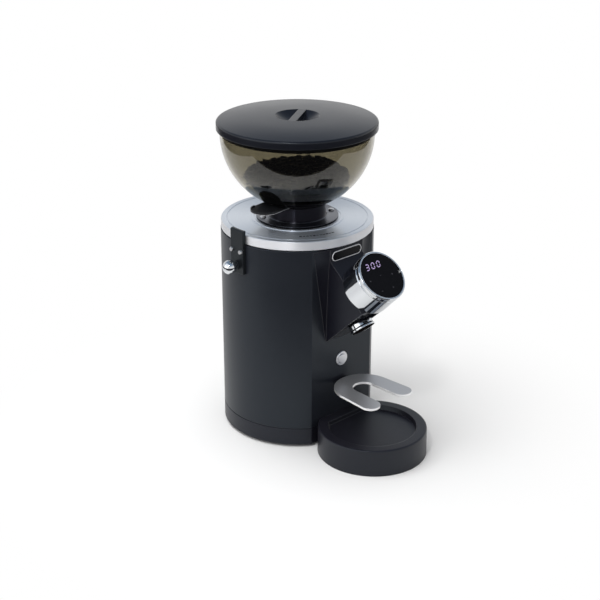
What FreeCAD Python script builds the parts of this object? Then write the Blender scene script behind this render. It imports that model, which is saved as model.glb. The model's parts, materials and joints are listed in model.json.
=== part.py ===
import FreeCAD
import Part
import math
import os

V = FreeCAD.Vector
X_AXIS = V(1, 0, 0)
Y_AXIS = V(0, 1, 0)
Z_AXIS = V(0, 0, 1)

# All sizes in millimetres. While it is built, the body's axis is the Z axis, the flat front faces -Y
# and the table is at z = 0. The finished pieces are moved so that the origin is the middle of the
# footprint.

# Clearances
run_gap = 0.4
slide_gap = 0.3
shaft_gap = 0.05
nest_gap = 0.05

# Base and feet
body_r = 77.5
front_cut = 11.9
front_flat = body_r - front_cut
foot_h = 3.1
foot_r = 8.0
foot_sink = 1.2
foot_inset = 17.5
foot_circle_r = body_r - foot_inset
base_h = 18.3
base_wall = 3.5
base_floor = 3.0
seam_h = 1.0
seam_depth = 0.7
lip_h = 4.0
vent_count = 9
vent_pitch = 7.0
vent_w = 3.0
vent_l = 44.0

# Shell
shell_h = 191.8
shell_wall = 1.5

# Tie posts and the screws under the base
post_r = 4.5
post_inset = 11.5
post_circle_r = body_r - post_inset
post_angle = 30.0
base_screw_r = 2.0
base_screw_head_r = 3.8
base_screw_head_h = 2.0
base_screw_l = 14.0

# Platform and motor
platform_z = 160.0
platform_h = 8.0
can_inset = 31.5
can_r = body_r - can_inset
can_wall = 2.0
can_h = 98.0
bell_h = 12.0
bell_wall = 3.0
stator_h = 58.0
stator_lift = 22.0
stator_w = 18.0
stator_bore_r = can_r - can_wall - stator_w
stator_slots = 12
slot_w = 5.0
slot_deep = 9.0
air_gap = 0.5
shaft_r = 6.0
bearing_r = 14.0
bearing_h = 9.0
shaft_tail = 2.0

# Grinding chamber and burrs
skirt_inset = 14.5
skirt_r = body_r - skirt_inset
skirt_wall = 3.5
chamber_room = 4.5
chamber_r = skirt_r - skirt_wall - chamber_room
chamber_h = 44.0
chamber_floor = 4.5
cavity_r = 38.0
cavity_h = 24.0
thread_wall = 6.5
thread_bore_r = chamber_r - thread_wall
burr_r = 30.0
burr_bore_r = 18.0
burr_h = 7.0
burr_land = 5.0
burr_teeth = 26
tooth_w = 2.4
tooth_d = 1.5
tooth_skew = 24.0
tooth_lean = 22.0
grind_gap = 0.6
rotor_plate_h = 6.0
rotor_lift = 1.5
rotor_hub_r = 12.0
vane_count = 3
vane_w = 4.0
burr_screw_circle_r = 24.0
burr_screw_r = 1.5
burr_screw_head_r = 2.8
burr_screw_head_h = 2.0
burr_screw_l = 9.5
burr_screws = 3
nut_r = 9.0
nut_h = 3.75
hub_rise = 1.25

# Adjusting ring
ring_gap = 0.5
ring_inset = 0.4
ring_r = body_r - ring_inset
ring_h = 9.3
ring_bore_r = 22.0
ring_edge = 0.8
ring_groove_inset = 5.6
ring_groove_r = ring_r - ring_groove_inset
ring_groove_w = 1.2
ring_groove_d = 0.6
inner_bead_gap = 5.0
inner_bead_w = 2.4
inner_bead_h = 0.6
carrier_throat_r = 17.0
skirt_h = 26.2
ring_turn = 40.0

# Hopper collar and its screws
collar_flange_h = 2.2
neck_r = 28.7
neck_h = 17.0
neck_fillet = 1.5
spigot_r = 25.0
spigot_wall = 5.0
throat_step = 1.5
spigot_l = 14.0
collar_screw_inset = 5.3
collar_screw_angle = 65.0
collar_screw_r = 1.5
collar_screw_head_r = 3.0
collar_screw_head_h = 1.6
collar_screw_l = 8.0

# Hopper base, gate, bowl and lid
hopper_base_h = 6.0
hopper_base_r = 31.0
bowl_seat_r = 41.2
collar_over = 0.3
collar_flange_r = bowl_seat_r + collar_over
collar_screw_circle_r = collar_flange_r - collar_screw_inset
inner_bead_r = collar_flange_r + inner_bead_gap
bowl_r = 76.7
bowl_wall = 2.5
bowl_rim_h = 4.5
gate_rise = 2.0
gate_h = 1.6
gate_half_w = 20.0
gate_wide = 27.0
gate_tab_half_w = 14.5
gate_reach = 64.7
gate_turn = 8.3
gate_edge_h = 1.0
gate_edge_w = 1.6
lid_over = 3.4
lid_r = bowl_r + lid_over
lid_rim_h = 7.9
lid_rise = 4.6
lid_edge_r = 2.2
lid_skin = 3.5
lid_plug_gap = 0.65
lid_plug_r = math.sqrt((bowl_r - bowl_wall) ** 2 - bowl_rim_h ** 2) - lid_plug_gap
lid_plug_wall = 3.0
lid_plug_h = 5.0
lid_cup_r = 22.0
lid_cup_wall = 3.0
lid_cup_deep = 8.0
lid_bar_w = 7.9
lid_turn = 33.8

# Locking plunger on the left side
lock_z = 191.4
bracket_half_w = 9.0
bracket_z0 = 183.0
bracket_z1 = 228.0
bracket_out = 3.3
bracket_face = body_r + bracket_out
bracket_bevel = 1.2
bracket_screw_z = 206.5
bracket_screw_half = 6.5
bracket_screw_r = 1.5
bracket_screw_head_r = 2.3
bracket_screw_head_h = 2.4
bracket_screw_l = 9.0
sleeve_r = 4.5
sleeve_bore_r = 3.5
sleeve_stand = 2.0
sleeve_l = 17.0
sleeve_end = 2.5
pin_r = 2.0
pin_collar_r = 3.2
pin_collar_l = 1.5
pin_reach = 2.2
knob_r = 7.1
knob_out = 12.8
knob_cut = 0.7
knob_face = body_r + knob_out
lock_travel = 4.5
spring_wire_r = 0.45
spring_turns = 7
coil_steps = 2

# Spout housing on the front
spout_half_w = 22.0
spout_wall = 2.5
spout_plate = 5.4
spout_top = 211.0
spout_toe = 111.5
spout_shoulder = 198.6
spout_fall = 39.0
spout_rise = 43.0
spout_recess = 3.5
flare_top = 17.7
flare_toe = 1.2
flare_lift = 1.0
flare_deep = 5.0
flare_skin = 0.3

# Display
display_rise = 45.0
display_out = 54.1
display_y = front_flat + display_out
display_z = 193.2
display_r = 26.5
display_l = 29.2
display_wall = 2.2
bezel_h = 5.0
bezel_edge = 0.9
bezel_lip = 1.8
glass_r = 24.2
glass_h = 1.8
glass_sunk = 1.6
board_ledge = 18.0
board_h = 1.6
ledge_w = 2.0
wire_hole_r = 5.0

# Nozzle and chute
nozzle_out = 30.2
nozzle_y = front_flat + nozzle_out
nozzle_z = 128.9
nozzle_fall = 47.0
nozzle_r = 12.4
nozzle_bore_r = 9.6
nozzle_l = 17.0
nozzle_lip_r = 13.0
nozzle_lip_h = 1.4
chute_r = 11.8
chute_l = 53.5
chute_room = 1.2

# Push button
button_z = 86.7
bezel_r = 7.6
bezel_out = 1.2
barrel_r = 6.2
barrel_l = 12.0
button_r = 5.2
button_out = 1.0
button_l = 7.0
button_stem_r = 1.6
button_travel = 1.5
button_nut_r = 9.5
button_nut_h = 2.5
switch_half_w = 6.0
switch_l = 4.5

# Portafilter fork
fork_z = 65.9
fork_h = 2.4
fork_out = 33.4
fork_y = front_flat + fork_out
fork_out_r = 30.4
fork_gap_r = 11.7
fork_length = 73.4
fork_tip_y = front_flat + fork_length
fork_tip_out = 32.4
fork_tip_in = 12.6
fork_arm_half = 9.0
fork_arm_h = 2.5
fork_arm_reach = 18.0
fork_leg_h = 14.0
fork_screw_half = 5.0
fork_screw_r = 1.5
fork_screw_head_r = 2.8
fork_screw_head_h = 1.8
fork_screw_bite = 1.6

# Catch tray
tray_out = 45.6
tray_y = front_flat + tray_out
tray_r = 55.4
tray_top_r = 55.0
tray_h = 28.0
tray_edge = 1.6
tray_dish_r = 44.5
tray_dish_deep = 4.5
tray_dish_slope = 1.5
tray_dish_inset = 11.4
tray_dish_back = front_flat + tray_dish_inset
tray_wall = 3.0
tray_skin = 3.0
tongue_half_w = 24.0
tongue_h = 2.0
tongue_lift = 0.5
tongue_reach = 18.0

# Control board, capacitor and cord gland
pcb_w = 52.0
pcb_d = 34.0
pcb_h = 1.6
pcb_boss_r = 3.0
pcb_boss_h = 4.0
pcb_y = 38.0
capacitor_r = 14.0
capacitor_h = 44.0
capacitor_inset = 31.5
capacitor_x = capacitor_inset - body_r
capacitor_y = 30.0
gland_z = 38.0
gland_r = 8.5
gland_out = 3.0
gland_barrel_r = 6.0
gland_bore_r = 3.6
gland_in = 5.0

# Heights and places that follow from the sizes above
z_shell = foot_h + base_h
z_top = z_shell + shell_h
z_ring = z_top + ring_gap
z_collar = z_ring + ring_h
z_neck = z_collar + neck_h
z_bowl = z_neck + hopper_base_h
bowl_mid_z = z_bowl + math.sqrt(bowl_r ** 2 - bowl_seat_r ** 2)
z_lid = bowl_mid_z + bowl_rim_h
z_rim = z_lid + lid_rim_h
z_chamber = platform_z + platform_h
z_rotor = z_chamber + chamber_floor + rotor_lift
z_lower_burr = z_rotor + rotor_plate_h
z_upper_burr = z_lower_burr + burr_h + grind_gap
z_can = platform_z - can_h
z_bell = z_can - bell_h
shell_in_r = body_r - shell_wall
shell_in_flat = front_flat - shell_wall
middle_x = (lid_r - knob_face - knob_r) / 2
middle_y = (lid_r - tray_y - tray_r) / 2

display_tilt = FreeCAD.Rotation(X_AXIS, 90 - display_rise)
display_axis = display_tilt.multVec(Z_AXIS)
display_foot = V(0, -display_y, display_z) - display_axis * display_l
nozzle_tilt = FreeCAD.Rotation(X_AXIS, 90 + nozzle_fall)
nozzle_mouth = V(0, -nozzle_y, nozzle_z)


def cylinder(r, z0, z1, x=0.0, y=0.0):
    return Part.makeCylinder(r, z1 - z0, V(x, y, z0))


def tube(r_out, r_in, z0, z1, x=0.0, y=0.0):
    return cylinder(r_out, z0, z1, x, y).cut(cylinder(r_in, z0, z1, x, y))


def block(x0, x1, y0, y1, z0, z1):
    return Part.makeBox(x1 - x0, y1 - y0, z1 - z0, V(x0, y0, z0))


def turned(profile):
    """Turn a closed outline of (radius, height) points about the Z axis."""
    points = [V(r, 0, z) for r, z in profile]
    face = Part.Face(Part.makePolygon(points + points[:1]))
    return face.revolve(V(0, 0, 0), Z_AXIS, 360)


def turned_edges(edges):
    """Turn a closed outline of lines and arcs in the XZ plane about the Z axis."""
    face = Part.Face(Part.Wire([edge.toShape() for edge in edges]))
    return face.revolve(V(0, 0, 0), Z_AXIS, 360)


def joined(solids):
    """Fuse a list of solids into one."""
    return solids[0].multiFuse(solids[1:]).removeSplitter()


def circle_places(radius, count, first=0.0):
    """Points evenly spaced on a circle, the first one at an angle counted from +X."""
    turns = [math.radians(first + 360.0 * i / count) for i in range(count)]
    return [(radius * math.cos(t), radius * math.sin(t)) for t in turns]


def d_section(r, flat, z0, z1):
    """Upright round bar with the flat front cut off it."""
    front = block(-r, r, -flat - r, -flat, z0, z1)
    return cylinder(r, z0, z1).cut(front)


def screw(shank_r, shank_l, head_r, head_h):
    """Screw with a domed head, head up, the seat of the head at z = 0."""
    dome = (shank_r + head_r) / 2
    profile = [(0, -shank_l), (shank_r, -shank_l), (shank_r, 0), (head_r, 0)]
    profile += [(head_r, head_h / 2), (dome, head_h), (0, head_h)]
    return turned(profile)


def screws(places, z, shank_r, shank_l, head_r, head_h, flip=False):
    """Several upright screws in one group, upside down where flip is set."""
    group = []
    for x, y in places:
        one = screw(shank_r, shank_l, head_r, head_h)
        if flip:
            one.rotate(V(0, 0, 0), X_AXIS, 180)
        one.translate(V(x, y, z))
        group.append(one)
    return Part.makeCompound(group)


def holes(places, r, z0, z1):
    return [cylinder(r, z0, z1, x, y) for x, y in places]


def tangent_arc(start, corner, end):
    """Arc between two points whose tangents meet at a corner."""
    chord_middle = (start + end) * 0.5
    cosine = (start - chord_middle).Length / (start - corner).Length
    crest = chord_middle + (corner - chord_middle) * (cosine / (1 + cosine))
    return Part.Arc(start, crest, end).toShape()


def coil(mean_r, wire_r, length, turns):
    """Round-wire spring along +Z from z = 0 to its length, ends included."""
    pitch = (length - 2 * wire_r) / turns
    steps = math.ceil(turns * coil_steps)

    def at(step):
        turn = 2 * math.pi * turns * step / steps
        point = V(mean_r * math.cos(turn), mean_r * math.sin(turn), pitch * turns * step / steps)
        along = V(-mean_r * math.sin(turn), mean_r * math.cos(turn), pitch / (2 * math.pi))
        return point, along.normalize()

    arcs = []
    for step in range(steps):
        start, start_way = at(step)
        end, end_way = at(step + 1)
        span = end - start
        spread = 2 * (1 - start_way.dot(end_way))
        lean = span.dot(start_way + end_way)
        reach = (math.sqrt(lean ** 2 + spread * span.dot(span)) - lean) / spread
        corner_1 = start + start_way * reach
        corner_2 = end - end_way * reach
        middle = (corner_1 + corner_2) * 0.5
        arcs += [tangent_arc(start, corner_1, middle), tangent_arc(middle, corner_2, end)]
    section = Part.Wire(Part.makeCircle(wire_r, V(mean_r, 0, 0), at(0)[1]))
    spring = Part.Wire(arcs).makePipeShell([section], True, False)
    spring.translate(V(0, 0, wire_r))
    return spring


def on_display(shape):
    """Set a piece drawn on the Z axis onto the tilted axis of the display."""
    shape.Placement = FreeCAD.Placement(display_foot, display_tilt).multiply(shape.Placement)
    return shape


def on_nozzle(shape):
    """Set a piece drawn on the Z axis onto the nozzle's axis, the mouth at z = 0."""
    shape.Placement = FreeCAD.Placement(nozzle_mouth, nozzle_tilt).multiply(shape.Placement)
    return shape


def on_left(shape, z):
    """Turn a piece drawn on the Z axis to point to -X, at a height."""
    turn = FreeCAD.Placement(V(0, 0, z), FreeCAD.Rotation(Y_AXIS, -90))
    shape.Placement = turn.multiply(shape.Placement)
    return shape


def on_front(shape, z):
    """Turn a piece drawn on the Z axis to point to the front, at a height."""
    turn = FreeCAD.Placement(V(0, 0, z), FreeCAD.Rotation(X_AXIS, 90))
    shape.Placement = turn.multiply(shape.Placement)
    return shape


def side_prism(points, half_w):
    """Extrude an outline of (y, z) points across the part, to both sides of its middle."""
    outline = [V(-half_w, y, z) for y, z in points]
    face = Part.Face(Part.makePolygon(outline + outline[:1]))
    return face.extrude(V(2 * half_w, 0, 0))


# Base pan: moulded floor and skirt that close the body from below
foot_places = circle_places(foot_circle_r, 4, 45)
post_places = circle_places(post_circle_r, 4, post_angle)
lip_r = shell_in_r - nest_gap
lip_flat = shell_in_flat - nest_gap
pan_r = body_r - base_wall
pan_flat = front_flat - base_wall
z_floor = foot_h + base_floor
pcb_x = pcb_w / 2 - pcb_boss_r
pcb_half_y = pcb_d / 2 - pcb_boss_r
pcb_rows = [(x, pcb_y + y) for x in (-pcb_x, pcb_x) for y in (-pcb_half_y, pcb_half_y)]


def base_pan():
    skirt = d_section(body_r, front_flat, foot_h, z_shell - seam_h)
    seam = d_section(body_r - seam_depth, front_flat - seam_depth, z_shell - seam_h, z_shell)
    lip = d_section(lip_r, lip_flat, z_shell, z_shell + lip_h)
    inside = d_section(pan_r, pan_flat, z_floor, z_shell + lip_h)
    pan = joined([skirt, seam, lip]).cut(inside)
    bosses = [cylinder(pcb_boss_r, z_floor, z_floor + pcb_boss_h, x, y) for x, y in pcb_rows]
    pan = joined([pan] + bosses)
    cuts = holes(post_places, base_screw_r + nest_gap, foot_h, z_floor)
    cuts += holes(post_places, base_screw_head_r + nest_gap, foot_h, foot_h + base_screw_head_h)
    cuts += holes(foot_places, foot_r + nest_gap, foot_h, foot_h + foot_sink)
    for i in range(vent_count):
        x = (i - (vent_count - 1) / 2) * vent_pitch
        vent = block(x - vent_w / 2, x + vent_w / 2, -vent_l / 2, vent_l / 2, foot_h, z_floor)
        vent.translate(V(0, -base_h, 0))
        cuts.append(vent)
    return pan.cut(cuts)


def rubber_feet():
    top = foot_h + foot_sink
    edge = foot_h / 4
    foot = turned([(0, 0), (foot_r - edge, 0), (foot_r, edge), (foot_r, top), (0, top)])
    return Part.makeCompound([foot.translated(V(x, y, 0)) for x, y in foot_places])


def tie_posts():
    """Posts that carry the platform on the base, bored for the screws from below."""
    deep = base_screw_l - (base_floor - base_screw_head_h)
    posts = []
    for x, y in post_places:
        post = cylinder(post_r, z_floor, platform_z, x, y)
        posts.append(post.cut(cylinder(base_screw_r + nest_gap, z_floor, z_floor + deep, x, y)))
    return Part.makeCompound(posts)


def base_screws():
    seat = foot_h + base_screw_head_h
    return screws(post_places, seat, base_screw_r, base_screw_l, base_screw_head_r, base_screw_head_h, True)


def control_board():
    z = z_floor + pcb_boss_h
    board = block(-pcb_w / 2, pcb_w / 2, pcb_y - pcb_d / 2, pcb_y + pcb_d / 2, z, z + pcb_h)
    relay = block(-pcb_w / 4, 0, pcb_y - pcb_d / 4, pcb_y + pcb_d / 4, z + pcb_h, z + pcb_h + pcb_boss_h * 2)
    return joined([board, relay])


def run_capacitor():
    return cylinder(capacitor_r, z_floor, z_floor + capacitor_h, capacitor_x, capacitor_y)


# Body shell: rolled and painted steel, open at both ends, with the holes for what passes its walls
def body_shell():
    shell = d_section(body_r, front_flat, z_shell, z_top)
    shell = shell.cut(d_section(shell_in_r, shell_in_flat, z_shell, z_top))
    chute_hole = on_nozzle(cylinder(chute_r + chute_room, -chute_l - nozzle_l, 0))
    wires = on_front(cylinder(wire_hole_r, 0, body_r), spout_top - 3 * wire_hole_r)
    button = on_front(cylinder(barrel_r + nest_gap, 0, body_r), button_z)
    arm_top = fork_z - fork_h
    arm_half = fork_arm_half + nest_gap
    arm = block(-arm_half, arm_half, -body_r, 0, arm_top - fork_arm_h - nest_gap, arm_top + nest_gap)
    sleeve = on_left(cylinder(sleeve_r + nest_gap, 0, body_r), lock_z)
    gland = Part.makeCylinder(gland_barrel_r + nest_gap, body_r, V(0, 0, gland_z), Y_AXIS)
    cuts = [chute_hole, wires, button, arm, sleeve, gland]
    for y in (-bracket_screw_half, bracket_screw_half):
        one = on_left(cylinder(bracket_screw_r + nest_gap, 0, body_r), bracket_screw_z)
        cuts.append(one.translated(V(0, y, 0)))
    return shell.cut(cuts)


def cord_gland():
    flange = Part.makeCylinder(gland_r, body_r + gland_out, V(0, 0, gland_z), Y_AXIS)
    flange = flange.cut(cylinder(body_r, gland_z - gland_r, gland_z + gland_r))
    flange = flange.common(block(-gland_r, gland_r, 0, 2 * body_r, gland_z - gland_r, gland_z + gland_r))
    barrel = Part.makeCylinder(gland_barrel_r, body_r, V(0, shell_in_r - gland_in, gland_z), Y_AXIS)
    end_y = body_r + gland_out / 2
    barrel = barrel.common(block(-gland_r, gland_r, 0, end_y, gland_z - gland_r, gland_z + gland_r))
    bore = Part.makeCylinder(gland_bore_r, 2 * body_r, V(0, 0, gland_z), Y_AXIS)
    return joined([flange, barrel]).cut(bore)


# Platform and motor
def motor_platform():
    """Cast plate on the posts: it carries the chamber above and the motor below."""
    plate = d_section(shell_in_r - nest_gap, shell_in_flat - nest_gap, platform_z, z_chamber)
    shaft_hole = cylinder(shaft_r + run_gap, platform_z, z_chamber)
    seat = cylinder(bearing_r + nest_gap, platform_z, platform_z + bearing_h - bell_wall)
    chute_way = on_nozzle(cylinder(chute_r + chute_room, -chute_l - nozzle_l, 0))
    return plate.cut([shaft_hole, seat, chute_way])


def motor_can():
    return tube(can_r, can_r - can_wall, z_can, platform_z)


def motor_end_bell():
    inner = can_r - can_wall
    boss_r = bearing_r + bell_wall
    profile = [(shaft_r + run_gap, z_bell), (boss_r, z_bell), (can_r, z_can - bell_wall), (can_r, z_can)]
    profile += [(inner, z_can), (boss_r, z_bell + bell_wall), (bearing_r + nest_gap, z_bell + bell_wall)]
    profile += [(shaft_r + run_gap, z_bell + bell_wall)]
    cup = turned(profile)
    seat = tube(boss_r, bearing_r + nest_gap, z_bell + bell_wall, z_bell + bell_wall + bearing_h)
    return joined([cup, seat])


def stator_core():
    z0 = z_can + stator_lift
    inner = can_r - can_wall - nest_gap
    core = tube(inner, stator_bore_r, z0, z0 + stator_h)
    slots = []
    for i in range(stator_slots):
        slot = block(-slot_w, slot_deep, -slot_w / 2, slot_w / 2, z0, z0 + stator_h)
        slot.translate(V(stator_bore_r, 0, 0))
        slot.rotate(V(0, 0, 0), Z_AXIS, i * 360.0 / stator_slots)
        slots.append(slot)
    return core.cut(slots)


def rotor_core():
    z0 = z_can + stator_lift
    return tube(stator_bore_r - air_gap, shaft_r + nest_gap, z0, z0 + stator_h)


def bearing(z):
    edge = bearing_h / 12
    profile = [(shaft_r + shaft_gap, z), (bearing_r, z), (bearing_r, z + bearing_h - edge)]
    profile += [(bearing_r - edge, z + bearing_h), (shaft_r + shaft_gap, z + bearing_h)]
    return turned(profile)


def lower_bearing():
    return bearing(z_bell + bell_wall)


def upper_bearing():
    return bearing(platform_z - bell_wall)


def motor_shaft():
    z0 = z_bell - shaft_tail
    return cylinder(shaft_r, z0, z_lower_burr + hub_rise + nut_h)


# Grinding chamber: turned casting with the burr cavity and the bore that guides the adjusting ring
def grind_chamber():
    z1 = z_chamber + chamber_h
    z_cavity = z_chamber + chamber_floor
    profile = [(shaft_r + run_gap, z_chamber), (chamber_r, z_chamber), (chamber_r, z1), (thread_bore_r, z1)]
    profile += [(thread_bore_r, z_cavity + cavity_h), (cavity_r, z_cavity + cavity_h), (cavity_r, z_cavity)]
    profile += [(shaft_r + run_gap, z_cavity)]
    outlet = on_nozzle(cylinder(nozzle_bore_r, -2 * chute_l, -nozzle_l))
    outlet = outlet.cut(cylinder(cavity_r - nozzle_r, z_chamber, z1))
    seat = on_nozzle(cylinder(chute_r + nest_gap, -nozzle_l - chute_l, -nozzle_l))
    return turned(profile).cut([outlet, seat])


def burr(flip):
    """Flat grinding burr, teeth up, its back at z = 0; the upper one is turned over."""
    slope = burr_r - burr_land
    profile = [(burr_bore_r, 0), (burr_r, 0), (burr_r, burr_h), (slope, burr_h)]
    profile += [(burr_bore_r, burr_h - tooth_d)]
    ring = turned(profile)
    reach = burr_r - burr_bore_r
    grooves = []
    for i in range(burr_teeth):
        groove = block(-reach, reach + tooth_w, 0, tooth_w, -tooth_d, 2 * tooth_d)
        groove.rotate(V(0, 0, 0), X_AXIS, tooth_lean)
        groove.rotate(V(0, 0, 0), Z_AXIS, tooth_skew)
        groove.translate(V(burr_bore_r + reach / 2, 0, burr_h))
        groove.rotate(V(0, 0, 0), Z_AXIS, i * 360.0 / burr_teeth)
        grooves.append(groove)
    ring = ring.cut(grooves)
    cuts = holes(burr_screw_places, burr_screw_r + nest_gap, 0, burr_h)
    cuts += holes(burr_screw_places, burr_screw_head_r + nest_gap, burr_h - 2 * burr_screw_head_h, burr_h)
    ring = ring.cut(cuts)
    if flip:
        ring.rotate(V(0, 0, 0), X_AXIS, 180)
        ring.translate(V(0, 0, z_upper_burr + burr_h))
    else:
        ring.translate(V(0, 0, z_lower_burr))
    return ring


burr_screw_places = circle_places(burr_screw_circle_r, burr_screws, 90)
upper_screw_places = [(x, -y) for x, y in burr_screw_places]


def lower_burr_carrier():
    """Plate on the shaft that carries the lower burr and the vanes that sweep the grounds out."""
    plate = tube(burr_r, shaft_r + nest_gap, z_rotor, z_lower_burr)
    hub = tube(rotor_hub_r, shaft_r + nest_gap, z_lower_burr, z_lower_burr + hub_rise)
    reach = cavity_r - slide_gap * 2
    vanes = []
    for i in range(vane_count):
        vane = block(burr_r - vane_w, reach - slide_gap, -vane_w / 2, vane_w / 2, z_rotor, z_lower_burr)
        vane.rotate(V(0, 0, 0), Z_AXIS, i * 360.0 / vane_count)
        vanes.append(vane)
    carrier = joined([plate, hub] + vanes)
    return carrier.cut(holes(burr_screw_places, burr_screw_r + nest_gap, z_rotor, z_lower_burr))


def shaft_nut():
    z0 = z_lower_burr + hub_rise
    points = [V(x, y, z0) for x, y in circle_places(nut_r, 6)]
    nut = Part.Face(Part.makePolygon(points + points[:1])).extrude(V(0, 0, nut_h))
    return nut.cut(cylinder(shaft_r + nest_gap, z0, z0 + nut_h))


def lower_burr_screws():
    seat = z_lower_burr + burr_h - 2 * burr_screw_head_h
    long = burr_h - 2 * burr_screw_head_h + rotor_plate_h
    return screws(burr_screw_places, seat, burr_screw_r, long, burr_screw_head_r, burr_screw_head_h)


def upper_burr_screws():
    seat = z_upper_burr + 2 * burr_screw_head_h
    sizes = (burr_screw_r, burr_screw_l, burr_screw_head_r, burr_screw_head_h)
    return screws(upper_screw_places, seat, *sizes, True)


# Adjusting ring, the burr carrier under it, and the skirt with the stop slot
z_carrier = z_upper_burr + burr_h
collar_screw_places = circle_places(collar_screw_circle_r, 2, collar_screw_angle - 90)
carrier_screw_places = circle_places(collar_screw_circle_r, 2, collar_screw_angle)


def upper_burr_carrier():
    r = thread_bore_r - slide_gap
    clear = z_chamber + chamber_floor + cavity_h + run_gap
    profile = [(burr_bore_r, z_carrier), (burr_r, z_carrier), (burr_r, clear), (r, clear), (r, z_ring)]
    profile += [(ring_bore_r, z_ring), (carrier_throat_r + slide_gap, clear)]
    carrier = turned(profile)
    deep = burr_screw_l - 2 * burr_screw_head_h
    z1 = z_carrier + deep + burr_screw_head_h
    cuts = holes(upper_screw_places, burr_screw_r + nest_gap, z_carrier, z1)
    cuts += holes(carrier_screw_places, collar_screw_r + nest_gap, z_ring - collar_screw_l, z_ring)
    return carrier.cut(cuts)


def adjusting_ring():
    """Turned aluminium ring: bevelled rim, a groove near the rim, a bead round the collar."""
    z1 = z_collar
    groove0 = ring_groove_r - ring_groove_w
    bead0 = inner_bead_r - inner_bead_w
    profile = [(ring_bore_r, z_ring), (ring_r - ring_edge, z_ring), (ring_r, z_ring + ring_edge)]
    profile += [(ring_r, z1 - ring_edge), (ring_r - ring_edge, z1), (ring_groove_r, z1)]
    profile += [(ring_groove_r, z1 - ring_groove_d), (groove0, z1 - ring_groove_d), (groove0, z1)]
    profile += [(inner_bead_r, z1), (inner_bead_r, z1 + inner_bead_h)]
    profile += [(bead0, z1 + inner_bead_h), (bead0, z1), (ring_bore_r, z1)]
    ring = turned(profile)
    cuts = holes(collar_screw_places, collar_screw_r + nest_gap, z1 - collar_screw_l, z1)
    cuts += holes(carrier_screw_places, collar_screw_r + nest_gap, z_ring, z1)
    sunk = collar_screw_head_h + nest_gap
    cuts += holes(carrier_screw_places, collar_screw_head_r + nest_gap, z1 - sunk, z1)
    return ring.cut(cuts)


def carrier_screws():
    seat = z_collar - collar_screw_head_h - nest_gap
    long = seat - z_ring + collar_screw_l
    return screws(carrier_screw_places, seat, collar_screw_r, long, collar_screw_head_r, collar_screw_head_h)


def index_skirt():
    """Band under the ring, slotted so that the locking pin stops the ring at both ends."""
    band = tube(skirt_r, skirt_r - skirt_wall, z_ring - skirt_h, z_ring)
    half_h = pin_r + run_gap
    sweep = ring_turn + math.degrees(half_h / (skirt_r - skirt_wall)) + 1
    start = V(skirt_r + skirt_wall, 0, 0)
    slot = Part.Face(Part.makePolygon([
        V(skirt_r - 2 * skirt_wall, 0, lock_z - half_h), start + V(0, 0, lock_z - half_h),
        start + V(0, 0, lock_z + half_h), V(skirt_r - 2 * skirt_wall, 0, lock_z + half_h),
        V(skirt_r - 2 * skirt_wall, 0, lock_z - half_h)]))
    slot.rotate(V(0, 0, 0), Z_AXIS, 180 - sweep)
    return band.cut(slot.revolve(V(0, 0, 0), Z_AXIS, 2 * sweep))


# Collar on the ring, which takes the hopper's spigot
def hopper_collar():
    z_flange = z_collar + collar_flange_h
    bore = spigot_r + slide_gap
    profile = [(bore, z_collar), (collar_flange_r, z_collar), (collar_flange_r, z_flange)]
    profile += [(neck_r + neck_fillet, z_flange), (neck_r, z_flange + neck_fillet)]
    profile += [(neck_r, z_neck), (bore, z_neck)]
    collar = turned(profile)
    return collar.cut(holes(collar_screw_places, collar_screw_r + nest_gap, z_collar, z_flange))


def collar_screws():
    seat = z_collar + collar_flange_h
    sizes = (collar_screw_r, collar_screw_l, collar_screw_head_r, collar_screw_head_h)
    return screws(collar_screw_places, seat, *sizes)


# Hopper: base with the gate slot, gate, bowl and lid
throat_r = spigot_r - spigot_wall - throat_step
z_gate = z_neck + gate_rise


def hopper_base():
    """Black throat under the bowl: spigot in the collar, slot for the gate, funnel above it."""
    bowl_in_r = math.sqrt((bowl_r - bowl_wall) ** 2 - (bowl_mid_z - z_bowl) ** 2)
    z_slot = z_gate + gate_h + slide_gap
    profile = [(throat_r, z_neck - spigot_l), (spigot_r, z_neck - spigot_l), (spigot_r, z_neck)]
    profile += [(hopper_base_r, z_neck), (bowl_seat_r, z_bowl), (bowl_in_r, z_bowl), (throat_r, z_slot)]
    base = turned(profile)
    half = gate_half_w + slide_gap
    slot = block(-bowl_seat_r, 0, -half, half, z_gate - slide_gap, z_slot)
    slot_end = cylinder(half, z_gate - slide_gap, z_slot)
    slot = joined([slot, slot_end])
    slot.rotate(V(0, 0, 0), Z_AXIS, gate_turn)
    return base.cut(slot)


def gate_tab(inset):
    """Outline of the part of the gate that is gripped: straight sides and a round end."""
    half = gate_tab_half_w - inset
    round_x = gate_tab_half_w - gate_reach
    edges = [
        Part.LineSegment(V(0, half, 0), V(round_x, half, 0)),
        Part.Arc(V(round_x, half, 0), V(round_x - half, 0, 0), V(round_x, -half, 0)),
        Part.LineSegment(V(round_x, -half, 0), V(0, -half, 0)),
        Part.LineSegment(V(0, -half, 0), V(0, half, 0)),
    ]
    return Part.Face(Part.Wire([edge.toShape() for edge in edges]))


def bean_gate():
    """Slide that shuts the throat: a broad plate inside, a narrower tab with a finger rim outside."""
    top = gate_h + gate_edge_h
    disc = cylinder(gate_half_w, 0, gate_h)
    plate = block(-gate_wide, 0, -gate_half_w, gate_half_w, 0, gate_h)
    tab = gate_tab(0).extrude(V(0, 0, gate_h))
    rim = gate_tab(0).extrude(V(0, 0, top)).cut(gate_tab(gate_edge_w).extrude(V(0, 0, top)))
    rim = rim.cut(block(gate_tab_half_w - gate_reach, 0, -gate_half_w, gate_half_w, 0, top))
    gate = joined([disc, plate, tab, rim]).translated(V(0, 0, z_gate))
    gate.rotate(V(0, 0, 0), Z_AXIS, gate_turn)
    return gate


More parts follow.
